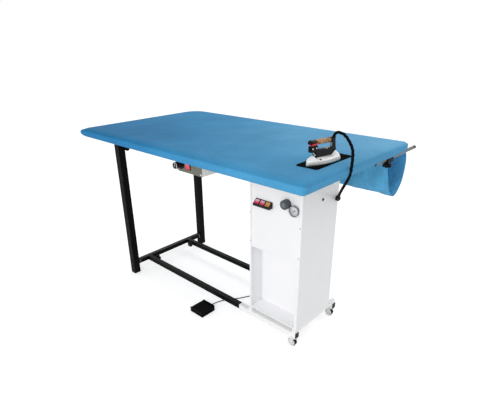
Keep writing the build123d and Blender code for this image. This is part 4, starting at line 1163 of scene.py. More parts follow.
@dataclass
class Cord:
    """A flexible cord drawn as a tube round one smooth line."""

    name: str
    node: str
    radius: float
    length: float
    lay: str
    route: Sequence[Point]
    sides: int
    strand_depth: float = 0.0
    strands: int = 3
    twist_pitch: float = 0.055
    ring_gap: float = 0.0015

    def _line(self) -> np.ndarray:
        """Draws the route's own NURBS line.

        Returns:
            Even points along it.
        """
        data = bpy.data.curves.new(self.name + "_line", "CURVE")
        data.dimensions = "3D"
        spline = data.splines.new("NURBS")
        spline.points.add(len(self.route) - 1)
        for point, place in zip(spline.points, self.route):
            point.co = (*place, 1.0)
        spline.order_u, spline.use_endpoint_u, spline.resolution_u = 3, True, 16
        guide = bpy.data.objects.new(self.name + "_line", data)
        mesh = bpy.data.meshes.new_from_object(guide)
        points = np.array([v.co for v in mesh.vertices], float)
        bpy.data.objects.remove(guide)
        bpy.data.meshes.remove(mesh)
        return evened(points, int(travelled(points)[-1] / self.ring_gap) + 1)

    def _rings(self, line: np.ndarray) -> np.ndarray:
        """Carries a ring along the line without turning it, apart from its strands.

        Args:
            line: The cord's middle line.

        Returns:
            The points, by ring and by place in the ring.
        """
        ways = np.gradient(line, axis=0)
        ways /= np.linalg.norm(ways, axis=1)[:, None]
        side = np.cross(ways[0], Axis.UP.value)
        angles = np.linspace(0, 2 * math.pi, self.sides, endpoint=False)
        rings = []
        for index, (point, way) in enumerate(zip(line, ways)):
            side = side - way * float(side @ way)
            side /= np.linalg.norm(side)
            round_line = np.outer(np.cos(angles), side) + np.outer(np.sin(angles), np.cross(way, side))
            turn = 2 * math.pi * index * self.ring_gap / self.twist_pitch
            lobes = 1 - self.strand_depth * (0.5 + 0.5 * np.cos(self.strands * (angles + turn)))
            rings.append(point + self.radius * lobes[:, None] * round_line)
        return np.array(rings)

    def build(self) -> tuple[Piece, np.ndarray]:
        """Makes the tube.

        Returns:
            The tube's piece and the line that it follows.
        """
        line = self._line()
        mesh = bpy.data.meshes.new(self.name)
        count, last = self.sides, len(line) - 1
        faces = []
        for ring in range(last):
            for k in range(count):
                a, b = ring * count + k, ring * count + (k + 1) % count
                faces.append((a, b, b + count, a + count))
        faces += [tuple(range(count))[::-1], tuple(range(last * count, (last + 1) * count))]
        mesh.from_pydata(self._rings(line).reshape(-1, 3).tolist(), [], faces)
        layer = mesh.uv_layers.new(name="cord")
        for face in mesh.polygons:
            for corner, loop in enumerate(face.loop_indices):
                ring, k = divmod(mesh.loops[loop].vertex_index, count)
                at_seam = k == 0 and corner in (1, 2) and face.index < last * count
                layer.data[loop].uv = (1.0 if at_seam else k / count, ring * self.ring_gap)
        piece = bpy.data.objects.new(self.name, mesh)
        bpy.context.scene.collection.objects.link(piece)
        Bench.done(piece, smooth=60.0)
        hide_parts(self.node)
        return piece, line

    def declare(self, piece: Piece, line: np.ndarray) -> None:
        """Logs the tube's name and how many points its line has.

        Args:
            piece: The tube's piece.
            line: The line that it follows.
        """
        log.info("%s, %d points", piece.name, len(line))


@dataclass
class Cords:
    """The steam hose and the foot switch's cable."""

    hose_route: Sequence[Point] = (
        (0.612575, -0.171372, 0.961549), (0.615625, -0.170762, 0.973139), (0.625, -0.166, 0.9765),
        (0.643, -0.163, 0.9735), (0.660, -0.163, 0.962), (0.674, -0.166, 0.948),
        (0.687, -0.173, 0.937), (0.698, -0.182, 0.926), (0.706, -0.191, 0.912),
        (0.711, -0.200, 0.890), (0.713, -0.205, 0.860), (0.706, -0.203, 0.825),
        (0.680, -0.183, 0.789), (0.648, -0.147, 0.749), (0.616, -0.103, 0.712),
        (0.592128, -0.061408, 0.689128), (0.576498, -0.032994, 0.673498),
    )
    cable_route: Sequence[Point] = (
        (0.0245, -0.303, 0.0027), (0.0245, -0.273, 0.0027), (0.033, -0.238, 0.0027),
        (0.050, -0.203, 0.0027), (0.073, -0.174, 0.0027), (0.095, -0.143, 0.0027),
        (0.112, -0.108, 0.0027), (0.132, -0.073, 0.0027), (0.157, -0.050, 0.004),
        (0.178, -0.046, 0.016), (0.192, -0.048, 0.038), (0.198, -0.054, 0.066),
        (0.206, -0.057, 0.092), (0.219, -0.058, 0.111), (0.236, -0.058, 0.120),
        (0.258, -0.058, 0.120),
    )

    def build(self) -> None:
        hose = Cord(
            "steam_hose_cord", "steam_hose", 0.006, 0.5015, "hanging", self.hose_route, 24, strand_depth=0.22,
        )
        piece, line = hose.build()
        piece.data.materials.append(BraidedCover(srgb(9, 9, 10), srgb(44, 44, 47)).material("hose_cover"))
        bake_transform(piece)
        hose.declare(piece, line)
        cable = Cord("pedal_cord", "pedal_cable", 0.0025, 0.4614, "loose", self.cable_route, 14)
        piece, line = cable.build()
        dressed(piece, Rubber(srgb(30, 30, 31), 0.5, 900.0).material("cable_sheath"), "frame")
        cable.declare(piece, line)


# Work table


@dataclass
class WorkTable:
    """The padded top: foam pad and the stretched cloth over it."""

    left: float = -0.700
    right: float = 0.700
    front: float = -0.478
    rear: float = 0.302
    bottom: float = 0.830
    top: float = 0.876
    front_left_corner: float = 0.022
    rear_left_corner: float = 0.100
    right_corner: float = 0.012
    edge: float = 0.011
    bulge: float = 0.009
    left_bulge: float = 0.029
    ripple: float = 0.0014
    swell: float = 0.0012
    roll: float = 0.036
    roll_drop: float = 0.0065
    hem: float = 0.016
    wall: float = 0.0022
    pad_thickness: float = 0.0095
    pad_edge: float = 0.006
    pad_gap: float = 0.0006
    bays: tuple[int, int] = (36, 20)
    edge_lines: Sequence[float] = (0.0145, 0.0185, 0.0235, 0.0295, 0.0365)
    band_lines: Sequence[float] = (0.838, 0.846, 0.854, 0.861)

    def _radius(self, x: float, y: float) -> float:
        """Finds the corner nearest to a place.

        Args:
            x: X of the place.
            y: Y of the place.

        Returns:
            The corner's radius in plan.
        """
        if x > (self.left + self.right) / 2:
            return self.right_corner
        return self.front_left_corner if y < (self.front + self.rear) / 2 else self.rear_left_corner

    def _slab(self, name: str, inset: float, low: float, high: float) -> Piece:
        """A slab with the table's rounded plan, left open for editing.

        Args:
            name: The piece's name.
            inset: How far its sides lie inside the table's.
            low: Height of its underside.
            high: Height of its top.

        Returns:
            The slab.
        """
        Bench.clear()
        middle = ((self.left + self.right) / 2, (self.front + self.rear) / 2, low)
        bpy.ops.mesh.primitive_plane_add(size=1, location=middle)
        bpy.context.object.scale = (
            self.right - self.left - 2 * inset, self.rear - self.front - 2 * inset, 1,
        )
        piece = Bench.named(name)
        corners = [tuple(v.co) for v in piece.data.vertices]
        for corner in corners:
            Bench.edit(piece, "VERT")
            Bench.pick(piece, "verts", lambda v: (v.co - Vector(corner)).length < 1e-5)
            radius = self._radius(corner[0], corner[1]) - inset / 2
            bpy.ops.mesh.bevel(offset=radius, segments=12, affect="VERTICES")
        bpy.ops.mesh.select_mode(type="FACE")
        Bench.pick_all()
        Bench.draw_out(z=high - low)
        return piece

    def _gridded(self) -> None:
        """Cuts the open slab into bays so that it can swell and ripple."""
        spans = ((self.left, self.right), (self.front, self.rear))
        for axis, ((low, high), bays) in enumerate(zip(spans, self.bays)):
            Bench.slice(axis, [low + (high - low) * index / bays for index in range(1, bays)])
        self._ringed()
        Bench.slice(2, self.band_lines)

    def _ringed(self) -> None:
        """Cuts lines near the four sides, for the rolled edge."""
        for inset in self.edge_lines:
            Bench.slice(0, (self.left + inset, self.right - inset))
            Bench.slice(1, (self.front + inset, self.rear - inset))

    def _drop(self, inside: float) -> float:
        """How far the padded edge rolls down at a distance inside the outline."""
        return self.roll_drop * max(0.0, (self.roll - inside) / self.roll) ** 2

    def _rounded(self, piece: Piece, height: float, width: float) -> None:
        """Rounds the slab's upper edge.

        Args:
            piece: The slab.
            height: The height of its top.
            width: The width of the rounding.
        """
        Bench.edit(piece, "EDGE")
        Bench.pick(
            piece, "edges",
            lambda e: all(v.co.z > height - 1e-5 for v in e.verts)
            and any(abs(f.normal.z) < 0.5 for f in e.link_faces),
        )
        bpy.ops.mesh.bevel(offset=width, segments=8, profile=0.5)

    def _cover(self) -> Piece:
        """Makes the cloth: top, rounded edge, band and the hem turned in below.

        Returns:
            The cloth.
        """
        piece = self._slab("cover_cloth_top", 0.0, self.bottom, self.top)
        self._rounded(piece, self.top, self.edge)
        Bench.edit(piece)
        Bench.pick(piece, "faces", lambda f: f.normal.z < -0.9)
        bpy.ops.mesh.inset(thickness=self.hem, depth=0)
        bpy.ops.mesh.delete(type="FACE")
        self._gridded()
        Bench.pick_all()
        bpy.ops.mesh.normals_make_consistent(inside=False)
        bpy.ops.object.mode_set(mode="OBJECT")
        Bench.modify(piece, "SUBSURF", subdivision_type="SIMPLE", levels=1, render_levels=1)
        self._soften(piece)
        Bench.modify(piece, "SOLIDIFY", thickness=self.wall, offset=-1.0)
        return Bench.done(piece, outward=False, smooth=60.0)

    def _outward(self, x: float, y: float) -> tuple[Vector, float]:
        """Finds the nearest side of the table's plan.

        Args:
            x: X of a place.
            y: Y of the place.

        Returns:
            The way out of the plan there, and how far inside its outline the place is.
        """
        radius = self._radius(x, y)
        core = Vector((
            min(max(x, self.left + radius), self.right - radius),
            min(max(y, self.front + radius), self.rear - radius),
            0.0,
        ))
        way = Vector((x, y, 0.0)) - core
        if way.length > 1e-6:
            return way.normalized(), radius - way.length
        inside, way_out = min(
            (x - self.left, (-1, 0, 0)), (self.right - x, (1, 0, 0)),
            (y - self.front, (0, -1, 0)), (self.rear - y, (0, 1, 0)),
        )
        return Vector(way_out), inside

    def _soften(self, piece: Piece) -> None:
        """Lets the padded cloth swell, bulge at its band and ripple a little.

        Args:
            piece: The cloth before it has a thickness.
        """
        height = self.top - self.bottom
        for vertex in piece.data.vertices:
            x, y, z = vertex.co
            out, inside = self._outward(x, y)
            share = min(1.0, max(0.0, (z - self.bottom) / height))
            if z > self.top - 1e-4:
                swell = self.swell * noise.noise(Vector((x * 4, y * 4, 0.3)))
                vertex.co.z += swell * min(1.0, inside / 0.1)
            if z > self.top - self.edge - 1e-4:
                vertex.co.z -= self._drop(inside)
            if inside < self.edge + 0.002 and share > 0.001:
                ripple = noise.noise(Vector((x * 10, y * 10, z * 7))) * self.ripple
                nose = min(1.0, max(0.0, (-out.x - 0.05) / 0.7))
                nose = nose * nose * (3 - 2 * nose)
                round_share = (4 * share * (1 - share)) ** (0.55 + 0.3 * nose)
                reach = self.bulge + (self.left_bulge - self.bulge) * nose
                vertex.co += out * (reach + ripple) * round_share
                wavy = noise.noise(Vector((x * 12, y * 12, 1.7)))
                vertex.co.z += self.swell * wavy * (1 - share)

    def _pad(self) -> Piece:
        """Makes the foam pad right under the cloth.

        Returns:
            The pad.
        """
        inset = self.wall + self.pad_gap
        high = self.top - self.wall - 0.0010
        piece = self._slab("foam_pad", inset, high - self.pad_thickness, high)
        self._rounded(piece, high, self.pad_edge)
        self._ringed()
        bpy.ops.object.mode_set(mode="OBJECT")
        for vertex in piece.data.vertices:
            x, y, z = vertex.co
            share = (z - high + self.pad_thickness) / self.pad_thickness
            vertex.co.z -= (self._drop(self._outward(x, y)[1]) + self.pad_gap) * share
        return Bench.done(piece)

    def build(self) -> None:
        # The cloth's colour pairs are painted light: lighter to the rear and right, and brighter on the band.
        cloth = WovenCloth(
            front=(srgb(25, 113, 162), srgb(62, 142, 188)), rear=(srgb(45, 133, 181), srgb(96, 164, 203)),
            band=(srgb(38, 128, 184), srgb(76, 157, 204)), seam_height=0.8665,
        ).material("cover_cloth")
        cover = dressed(self._cover(), cloth, "frame", "table_cover")
        foam = Rubber(srgb(214, 208, 186), 0.9, 200.0).material("pad_foam")
        pad = dressed(self._pad(), foam, "frame", "table_pad")


# Iron


@dataclass
class Iron:
    """The iron's casting, handle frame, cork grip, lever and small fittings."""

    middle: float = 0.608
    tip: float = -0.333
    rear: float = -0.155
    half: float = 0.042
    tip_half: float = 0.004
    shoulder: float = -0.20484
    corner: float = 0.030
    around: int = 128
    skirt_top: float = 0.8925
    crown_front: tuple[float, float] = (-0.286, 0.9032)
    crown_rear: tuple[float, float] = (-0.185, 0.895)
    grip_front: float = -0.287
    grip_height: float = 0.958
    tilt: float = 4.2
    grip_length: float = 0.107
    cork_end: float = 0.0908
    base_height: float = 0.9327
    frame_half: float = 0.008
    split: float = -0.0007
    lip: float = -0.005
    lever_hinge: float = 0.0106
    lever_length: float = 0.039
    lever_top: float = -0.0013

    # Heights of the casting: its wall by the distance inside the sole, its nose crest and its heel by Y.
    wall_line: Sequence[Sequence[float]] = (
        (0, 0.0006, 0.0025, 0.0048, 0.008, 0.030, 0.042),
        (0.8856, 0.8866, 0.8925, 0.8955, 0.8974, 0.9036, 0.9036),
    )
    crest_line: Sequence[Sequence[float]] = (
        (-0.3325, -0.328, -0.318, -0.301, -0.2965, -0.2925, -0.2895),
        (0.886, 0.8945, 0.9025, 0.9108, 0.9112, 0.9075, 0.896),
    )
    heel_line: Sequence[Sequence[float]] = (
        (-0.186, -0.185, -0.1665, -0.1585, -0.156), (0.89, 0.895, 0.9067, 0.9067, 0.9045),
    )

    def _at_grip(self, along: float, up: float) -> tuple[float, float]:
        """Places a point by the tilted grip.

        Args:
            along: Distance along the grip from its front.
            up: Distance above its middle.

        Returns:
            The point's Y and Z.
        """
        turn = math.radians(self.tilt)
        return (
            self.grip_front + along * math.cos(turn) + up * math.sin(turn),
            self.grip_height - along * math.sin(turn) + up * math.cos(turn),
        )

    def _grip_prism(self, name: str, outline: Pairs, half: float) -> Piece:
        """A prism whose outline is given along and across the tilted grip."""
        return Bench.prism(name, [self._at_grip(*point) for point in outline], self.middle, half)

    def _plan(self, inset: float) -> np.ndarray:
        """Draws the sole's outline.

        Args:
            inset: How far it is drawn in.

        Returns:
            Even points round it, from the tip along the right side.
        """
        half = self.half - inset
        tip_half = self.tip_half * half / self.half
        tip, rear, reach = self.tip + inset, self.rear - inset, half - tip_half
        radius = (reach**2 + (self.shoulder - tip) ** 2) / (2 * reach)
        corner = self.corner * half / self.half
        line = [(0.0, tip)]
        for turn in np.linspace(math.asin((self.shoulder - tip) / radius), 0, 40):
            line.append((half - radius * (1 - math.cos(turn)), self.shoulder - radius * math.sin(turn)))
        for turn in np.linspace(0, math.pi / 2, 16):
            line.append((half - corner * (1 - math.cos(turn)), rear - corner * (1 - math.sin(turn))))
        x, y = evened(np.array(line + [(0.0, rear)]), self.around // 2 + 1).T
        return np.stack([np.r_[x, -x[-2:0:-1]], np.r_[y, y[-2:0:-1]]], 1)

    def _casting(self) -> Piece:
        """Makes the drafted wall, the shoulder, the sloping top, the nose crest and the heel.

        Returns:
            The casting.
        """
        insets = [0.0, 0.0006, 0.0014, 0.0025, 0.0037, 0.0048, 0.0062, 0.008]
        insets += list(np.arange(0.010, 0.0415, 0.00125))
        (y0, z0), (y1, z1) = self.crown_front, self.crown_rear
        rings = []
        for inset in insets:
            x, y = self._plan(inset).T
            crown = z0 + (y - y0) * (z1 - z0) / (y1 - y0)
            z = np.minimum(np.interp(inset, *self.wall_line), crown)
            if inset > 0.001:
                crest = np.interp(y, *self.crest_line) - np.maximum(abs(x) - 0.004, 0) * 0.8
                heel = np.interp(y, *self.heel_line) - np.maximum(abs(x) - 0.0095, 0) * 0.7
                z = np.maximum(z, np.maximum(crest, heel))
            rings.append(np.stack([self.middle + x, y, z], 1))
        return Bench.skinned("iron_casting_shell", np.array(rings), 48.0)

    def _along_grip(self, name: str, steps: Pairs, cut_from: float) -> Piece:
        """A round bar along the grip, flat below the split before a place.

        Args:
            name: The piece's name.
            steps: Distance along the grip and radius of each ring.
            cut_from: Where the flat underside ends.

        Returns:
            The bar.
        """
        rings = []
        for along, radius in steps:
            ring = []
            for turn in np.linspace(0, 2 * math.pi, 48, endpoint=False):
                up = radius * math.sin(turn)
                if along < cut_from:
                    up = max(up, self.split if along > -0.0305 else self.lip)
                ring.append((self.middle + radius * math.cos(turn), *self._at_grip(along, up)))
            rings.append(ring)
        return Bench.skinned(name, np.array(rings), 35.0)

    def _frame(self) -> list[Piece]:
        """Makes the base with its front block, the rib, the rear post and the round parts.

        Returns:
            The pieces of the handle frame.
        """
        base, heel_y, heel_z = self.base_height, -0.1565, 0.9067
        rear_y = self._at_grip(self.grip_length, 0)[0]
        front = self._at_grip(-0.030, -0.012)
        frame = Bench.prism("iron_frame", [
            (-0.283, 0.903), (-0.297, base - 0.007), (front[0] + 0.0007, base - 0.007), front,
            self._at_grip(0.009, -0.012), (-0.278, base), (rear_y, base - 0.012), (heel_y, base - 0.012),
            (heel_y, heel_z), (-0.166, heel_z), self.crown_rear,
        ], self.middle, self.frame_half)
        rib = self._grip_prism("iron_rib", (
            (-0.0034, -0.0127), (-0.0034, 0.0007), (0, 0.0007), (0, self.split), (0.009, self.split),
            (0.009, -0.0127),
        ), 0.003)
        post = Bench.prism("iron_rear_post", [
            (rear_y + 0.0007, base - 0.0127), self._at_grip(0.107, -0.0092),
            self._at_grip(0.107, 0.0092), self._at_grip(0.124, 0.0092), (rear_y + 0.024, base - 0.0127),
        ], self.middle, 0.006)
        cap = self._along_grip("iron_grip_cap", (
            (-0.0362, 0.0040), (-0.0360, 0.0066), (-0.0352, 0.0082), (-0.0338, 0.0090), (-0.0310, 0.0092),
            (-0.0300, 0.0092), (-0.0008, 0.0092), (-0.0001, 0.0088),
        ), 1.0)
        relief = Bench.turned(
            "iron_hose_relief", (self.middle, -0.172287, 0.944164), (0.25417, 0.05083, 0.96583), (
                (0.008, 0), (0.008, 0.0112), (0.0069, 0.0117), (0.0069, 0.0124), (0.0078, 0.0129),
                (0.0078, 0.0142), (0.0069, 0.0147), (0.0069, 0.0154), (0.0075, 0.0159), (0.0072, 0.018),
            ),
        )
        collar = self._along_grip("iron_rear_collar", (
            (0.0905, 0.0088), (0.0909, 0.0098), (0.0930, 0.0101), (0.1060, 0.0101), (0.1135, 0.0099),
            (0.1170, 0.0088), (0.1180, 0.0070),
        ), 0.0)
        # A black ring at the rod's foot, a dark piece that also stands in for the shade of the hole the rod
        # enters.
        shade_seat = Bench.turned(
            "iron_rod_shade_seat", (self.middle + 0.004, -0.2895, 0.9035), Axis.UP,
            ((0.0058, 0), (0.0058, 0.0040), (0.0050, 0.0048), (0.0036, 0.0048), (0.0032, 0.0036)), 24,
        )
        return [Bench.softened(frame, 0.0016), rib, Bench.softened(post, 0.0014), cap, collar, shade_seat, relief]

    def _lever(self) -> Piece:
        """Makes the forked lever with rounded edges.

        Returns:
            The lever.
        """
        hinge, top = self.lever_hinge, self.lever_top
        front = hinge - self.lever_length
        lever = self._grip_prism("iron_steam_lever", (
            (hinge, top), (front + 0.0035, top - 0.0034), (front, top - 0.0069),
            (front + 0.0035, top - 0.0092), (hinge, top - 0.0065),
        ), self.frame_half)
        fork = ((-0.004, -0.014), (-0.004, 0.014), (0.014, 0.014), (0.014, -0.014))
        return Bench.softened(Bench.cut(lever, self._grip_prism("lever_slot", fork, 0.0033)), 0.0011)

    def _fittings(self) -> None:
        """Screws, the steam rod, the heat dial, the post's plate and a dark disc of painted shade at the
        frame's foot.
        """
        chrome = Metal(srgb(232, 232, 234), 0.16).material("iron_chrome")
        grey = Metal(srgb(150, 148, 150), 0.4).material("iron_dial_grey")
        dark = MouldedPlastic(srgb(52, 52, 54), 0.4).material("iron_shade_patch_plastic")
        head = ((0.0029, -0.0004), (0.0029, 0.0004), (0.0024, 0.0010), (0.0010, 0.0013))
        for far, axis in (("", Axis.RIGHT), ("_far", Axis.LEFT)):
            x = self.middle + self.frame_half * axis.value[0]
            for place, y, z in (("front", -0.3120, 0.9390), ("rear", -0.2885, 0.9375)):
                screw = Bench.turned("iron_screw_" + place + far, (x, y, z), axis, head, 20)
                dressed(screw, chrome, "iron")
        rod = Bench.turned(
            "iron_steam_rod", (self.middle + 0.004, -0.3078, 0.9272), (0.0, 0.787, -0.617),
            ((0.0015, 0), (0.0015, 0.0205), (0.0031, 0.0206), (0.0031, 0.0228), (0.0022, 0.0240)), 20,
        )
        dial = Bench.turned(
            "iron_heat_dial", (self.middle, -0.221, 0.9246), (0.0, 0.12, 0.99),
            ((0.0096, 0), (0.0096, 0.0036), (0.0090, 0.0044), (0.0040, 0.0046), (0.0036, 0.0062),
             (0.0028, 0.0066)),
        )
        plate = Bench.prism("iron_post_plate", (
            (-0.1812, 0.9225), (-0.1822, 0.9225), (-0.1822, 0.9405), (-0.1812, 0.9405),
        ), self.middle, 0.0048)
        # Painted shade: a dark disc on the casting where the frame's foot shades it.
        shade_patch = Bench.turned(
            "iron_side_shade_patch", (0.6285, -0.279, 0.8962), (0.3, -0.08, 0.95),
            ((0.0043, 0), (0.0043, 0.0022), (0.0036, 0.0026), (0.0033, 0.0020)), 24,
        )
        dressed(rod, chrome, "iron")
        dressed(dial, grey, "iron")
        dressed(Bench.softened(plate, 0.0003, 2), grey, "iron")
        dressed(shade_patch, dark, "iron")

    def build(self) -> None:
        """Makes the iron's visible pieces over their CAD nodes."""
        paint = CastPaint(srgb(239, 240, 241), srgb(194, 193, 188), self.skirt_top)
        dressed(self._casting(), paint.material("iron_casting_paint"), "iron", "iron_body")
        black = MouldedPlastic(srgb(15, 15, 16), 0.4, 0.2, gloss=0.09).material("iron_phenolic")
        for piece in self._frame():
            dressed(piece, black, "iron", "iron_handle")
        end = self.cork_end
        grip = self._along_grip("iron_cork_grip", (
            (0.0001, 0.0080), (0.0009, 0.0090), (0.004, 0.0092), (0.0139, 0.0093), (0.0141, 0.0093),
            (0.03, 0.0095), (0.05, 0.0096), (0.07, 0.0096), (end - 0.004, 0.0093), (end - 0.0009, 0.0090),
            (end - 0.0001, 0.0080),
        ), 0.014)
        cork = Cork(srgb(208, 166, 122), srgb(112, 74, 42)).material("cork")
        dressed(grip, cork, "iron", "iron_grip")
        red = MouldedPlastic(srgb(226, 34, 52), 0.28, 0.05, gloss=0.5).material("lever_red")
        dressed(self._lever(), red, "iron_lever", "iron_lever")
        self._fittings()


# Linen trough


@dataclass
class LinenTrough:
    """The cloth trough hung from two rods behind the table."""

    left: float = -0.6265
    right: float = 0.6595
    front_rod: float = 0.230
    rear_rod: float = 0.402
    rod_height: float = 0.812
    wrap: float = 0.0064
    depth: float = 0.214
    thickness: float = 0.0012
    hem: float = 0.052
    columns: int = 180
    rows: int = 96
    broad_fold: float = 0.0062
    fine_fold: float = 0.0040
    end_fold: float = 0.0030
    gather: float = 0.0016

    # The hanging line between the rods, as shares of their span and of the depth.
    shares: Pairs = (
        (0.0, 0.02), (0.03, 0.12), (0.06, 0.22), (0.10, 0.35), (0.145, 0.5), (0.205, 0.66),
        (0.29, 0.80), (0.38, 0.895), (0.48, 0.96), (0.59, 0.99), (0.70, 0.985), (0.82, 0.945),
        (0.94, 0.86), (1.04, 0.75), (1.10, 0.62), (1.13, 0.5), (1.12, 0.38), (1.085, 0.24),
        (1.035, 0.11), (1.0, 0.02),
    )

    def _round_rod(self, rod: float, degrees: range) -> list[tuple[float, float]]:
        """Leads the cloth round a rod.

        Args:
            rod: The rod's Y.
            degrees: The angles to pass, from the rod's rear side upwards.

        Returns:
            Y and Z of the places.
        """
        turns = [math.radians(angle) for angle in degrees]
        return [
            (rod + self.wrap * math.cos(turn), self.rod_height + self.wrap * math.sin(turn)) for turn in turns
        ]

    def _outline(self) -> np.ndarray:
        """Draws the hanging line from hem to hem.

        Returns:
            Y and Z of its points.
        """
        start, span = self.front_rod - self.wrap, self.rear_rod - self.front_rod + 2 * self.wrap
        points = self._round_rod(self.front_rod, range(-30, 180, 15))
        for across, down in self.shares:
            points.append((start + span * across, self.rod_height - self.depth * down))
        line = np.array(points + self._round_rod(self.rear_rod, range(0, 211, 15)))
        for _ in range(2):
            low, high = line[:-1] * 0.75 + line[1:] * 0.25, line[:-1] * 0.25 + line[1:] * 0.75
            line = np.concatenate([line[:1], np.stack([low, high], 1).reshape(-1, 2), line[-1:]])
        return line

    def _push(self, x: float, z: float, u: float, v: float) -> float:
        """Works out the folds, which grow below the rods, and the gathers at the rods.

        Args:
            x: The place's X.
            z: The place's height.
            u: Its share of the cloth's length.
            v: Its share of the way from hem to hem.

        Returns:
            How far the cloth is pushed out there.
        """
        free = min(1.0, max(0.0, (self.rod_height - 0.012 - z) / 0.06))
        near_end = math.exp(-min(u, 1 - u) * 9.0)
        fold = self.broad_fold * noise.noise(Vector((x * 7.0 + v * 3.0, v * 2.4, 0.0)))
        fold += self.fine_fold * noise.noise(Vector((x * 21.0 - v * 9.0, v * 3.2, 5.0)))
        fold += self.end_fold * near_end * math.sin(16 * v + 6 * u)
        gather = self.gather * math.sin(x * 90 + 4 * math.sin(x * 11)) * math.exp(-(free * 3.0))
        return fold * free + gather * min(1.0, free * 6)

    def build(self) -> None:
        """Makes the cloth, its folds and its hems."""
        outline, width = self._outline(), self.right - self.left
        length = travelled(outline)[-1]
        line = evened(outline, self.rows + 1)
        Bench.clear()
        bpy.ops.mesh.primitive_grid_add(x_subdivisions=self.columns, y_subdivisions=self.rows, size=1)
        piece = Bench.named("trough_linen")
        normals = np.stack([np.gradient(line[:, 1]), -np.gradient(line[:, 0])], 1)
        normals /= np.linalg.norm(normals, axis=1)[:, None]
        mesh = piece.data
        for layer in list(mesh.uv_layers):
            mesh.uv_layers.remove(layer)
        layer = mesh.uv_layers.new(name="cloth")
        flat = [(v.co.x + 0.5, v.co.y + 0.5) for v in mesh.vertices]
        for loop in mesh.loops:
            u, v = flat[loop.vertex_index]
            layer.data[loop.index].uv = (u * width, v * length)
        for vertex, (u, v) in zip(mesh.vertices, flat):
            x, row = self.left + width * u, min(self.rows, int(round(v * self.rows)))
            y, z = line[row] + normals[row] * self._push(x, line[row][1], u, v)
            vertex.co = (x, y, z)
        Bench.modify(piece, "SOLIDIFY", thickness=self.thickness, offset=0.0)
        Bench.done(piece, outward=False, smooth=80.0)
        # The cloth's colour is raised to paint light on its walls, which sit in the table's shade.
        cloth = TroughCloth(srgb(88, 172, 218), (self.hem, length - self.hem)).material("trough_cloth")
        dressed(piece, cloth, "trough", "trough_cloth")
        log.info("trough cloth, %.3f m from hem to hem", length)


# Controls and small fittings


@dataclass
class Fittings:
    """Dial, bezel, knob rings and the legs' lock knobs."""

    gauge: Point = (0.511, -0.255, 0.662)
    gauge_front: float = -0.265
    knob_face: Point = (-0.035, -0.4153, 0.7803)
    regulator_face: Point = (0.472, -0.2803, 0.683)
    lock_knob: Point = (-0.5604, -0.329, 0.762)
    lock_knob_shift: float = 0.4816
    lock_knob_sides: int = 30

    def _gauge(self) -> None:
        """Printed dial at the case's floor and the rolled bezel round its mouth."""
        disc = ((0.0205, 0.0001), (0.0205, 0.0007), (0.0202, 0.0009))
        dial = Bench.turned("gauge_dial_face", self.gauge, Axis.FRONT, disc, 48)
        paper = PrintedDial(
            self.gauge, srgb(226, 226, 230), srgb(40, 40, 46), 0.0135, 0.0178, ticks=54.0, bold_ticks=9.0,
        )
        dressed(dial, paper.material("gauge_dial"), "frame")
        mouth = (self.gauge[0], self.gauge_front, self.gauge[2])
        bezel = Bench.ring("gauge_bezel", mouth, Axis.FRONT, (
            (0.0209, -0.0002), (0.0207, 0.0008), (0.0212, 0.0016), (0.0222, 0.0020), (0.0232, 0.0016),
            (0.0238, 0.0006), (0.0238, -0.0030), (0.0231, -0.0038), (0.0230, -0.0002),
        ))
        dressed(bezel, Metal(srgb(140, 142, 150), 0.18).material("gauge_bezel_metal"), "frame")

    def _knobs(self) -> None:
        """White ring, dot and pointer of the thermostat, and the regulator's cap."""
        x, y, z = self.knob_face
        ring = Bench.ring("thermostat_ring", self.knob_face, Axis.FRONT, (
            (0.0138, -0.0003), (0.0138, 0.0003), (0.0142, 0.0006), (0.0158, 0.0006), (0.0162, 0.0003),
            (0.0162, -0.0003),
        ))
        disc = ((0.0024, -0.0003), (0.0024, 0.0005), (0.0019, 0.0008))
        dot = Bench.turned("thermostat_dot", self.knob_face, Axis.FRONT, disc, 20)
        back, face, low, high = y + 0.0003, y - 0.0006, z + 0.005, z + 0.012
        bar = ((back, low), (face, low), (face, high), (back, high))
        pointer = Bench.softened(Bench.prism("thermostat_pointer", bar, x, 0.0009), 0.0002, 2)
        white = MouldedPlastic(srgb(236, 236, 236), 0.4, 0.1).material("knob_marking")
        for piece in (ring, dot, pointer):
            dressed(piece, white, "thermostat_knob")
        cap = Bench.turned("regulator_cap", self.regulator_face, Axis.FRONT, (
            (0.0100, -0.0004), (0.0100, 0.0006), (0.0092, 0.0011), (0.0060, 0.0011), (0.0054, 0.0005),
        ))
        grey = MouldedPlastic(srgb(108, 117, 119), 0.4, 0.15).material("regulator_cap_grey")
        dressed(cap, grey, "regulator_knob")

    def _notched(self, face: bmesh.types.BMFace) -> bool:
        """Picks the notches among the faces of the front lock knob's rim.

        Args:
            face: A face of the knob.

        Returns:
            Whether it is a notch.
        """
        middle = face.calc_center_median()
        turn = math.atan2(middle.z - self.lock_knob[2], middle.y - self.lock_knob[1])
        place = round(turn / (2 * math.pi / self.lock_knob_sides))
        return abs(face.normal.x) < 0.2 and middle.x > self.lock_knob[0] + 0.0064 and place % 3 == 0

    def _lock_knobs(self) -> None:
        """A lock knob on the inner side of each leg's top."""
        front = Bench.turned("leg_lock_knob_front", self.lock_knob, Axis.RIGHT, (
            (0.0050, 0), (0.0050, 0.0060), (0.0120, 0.0066), (0.0138, 0.0080), (0.0140, 0.0150),
            (0.0128, 0.0172), (0.0085, 0.0186),
        ), self.lock_knob_sides)
        Bench.edit(front)
        Bench.pick(front, "faces", self._notched)
        bpy.ops.mesh.inset(thickness=0.0003, depth=-0.0008, use_individual=True)
        Bench.done(front)
        rear = Bench.twin(front, "leg_lock_knob_rear", (0, self.lock_knob_shift, 0))
        black = MouldedPlastic(srgb(12, 12, 13), gloss=0.06).material("lock_knob_black")
        for piece in (front, rear):
            dressed(piece, black, "frame")

    def build(self) -> None:
        """Makes every small fitting."""
        self._gauge()
        self._knobs()
        self._lock_knobs()


# Finishes of the carried-over nodes


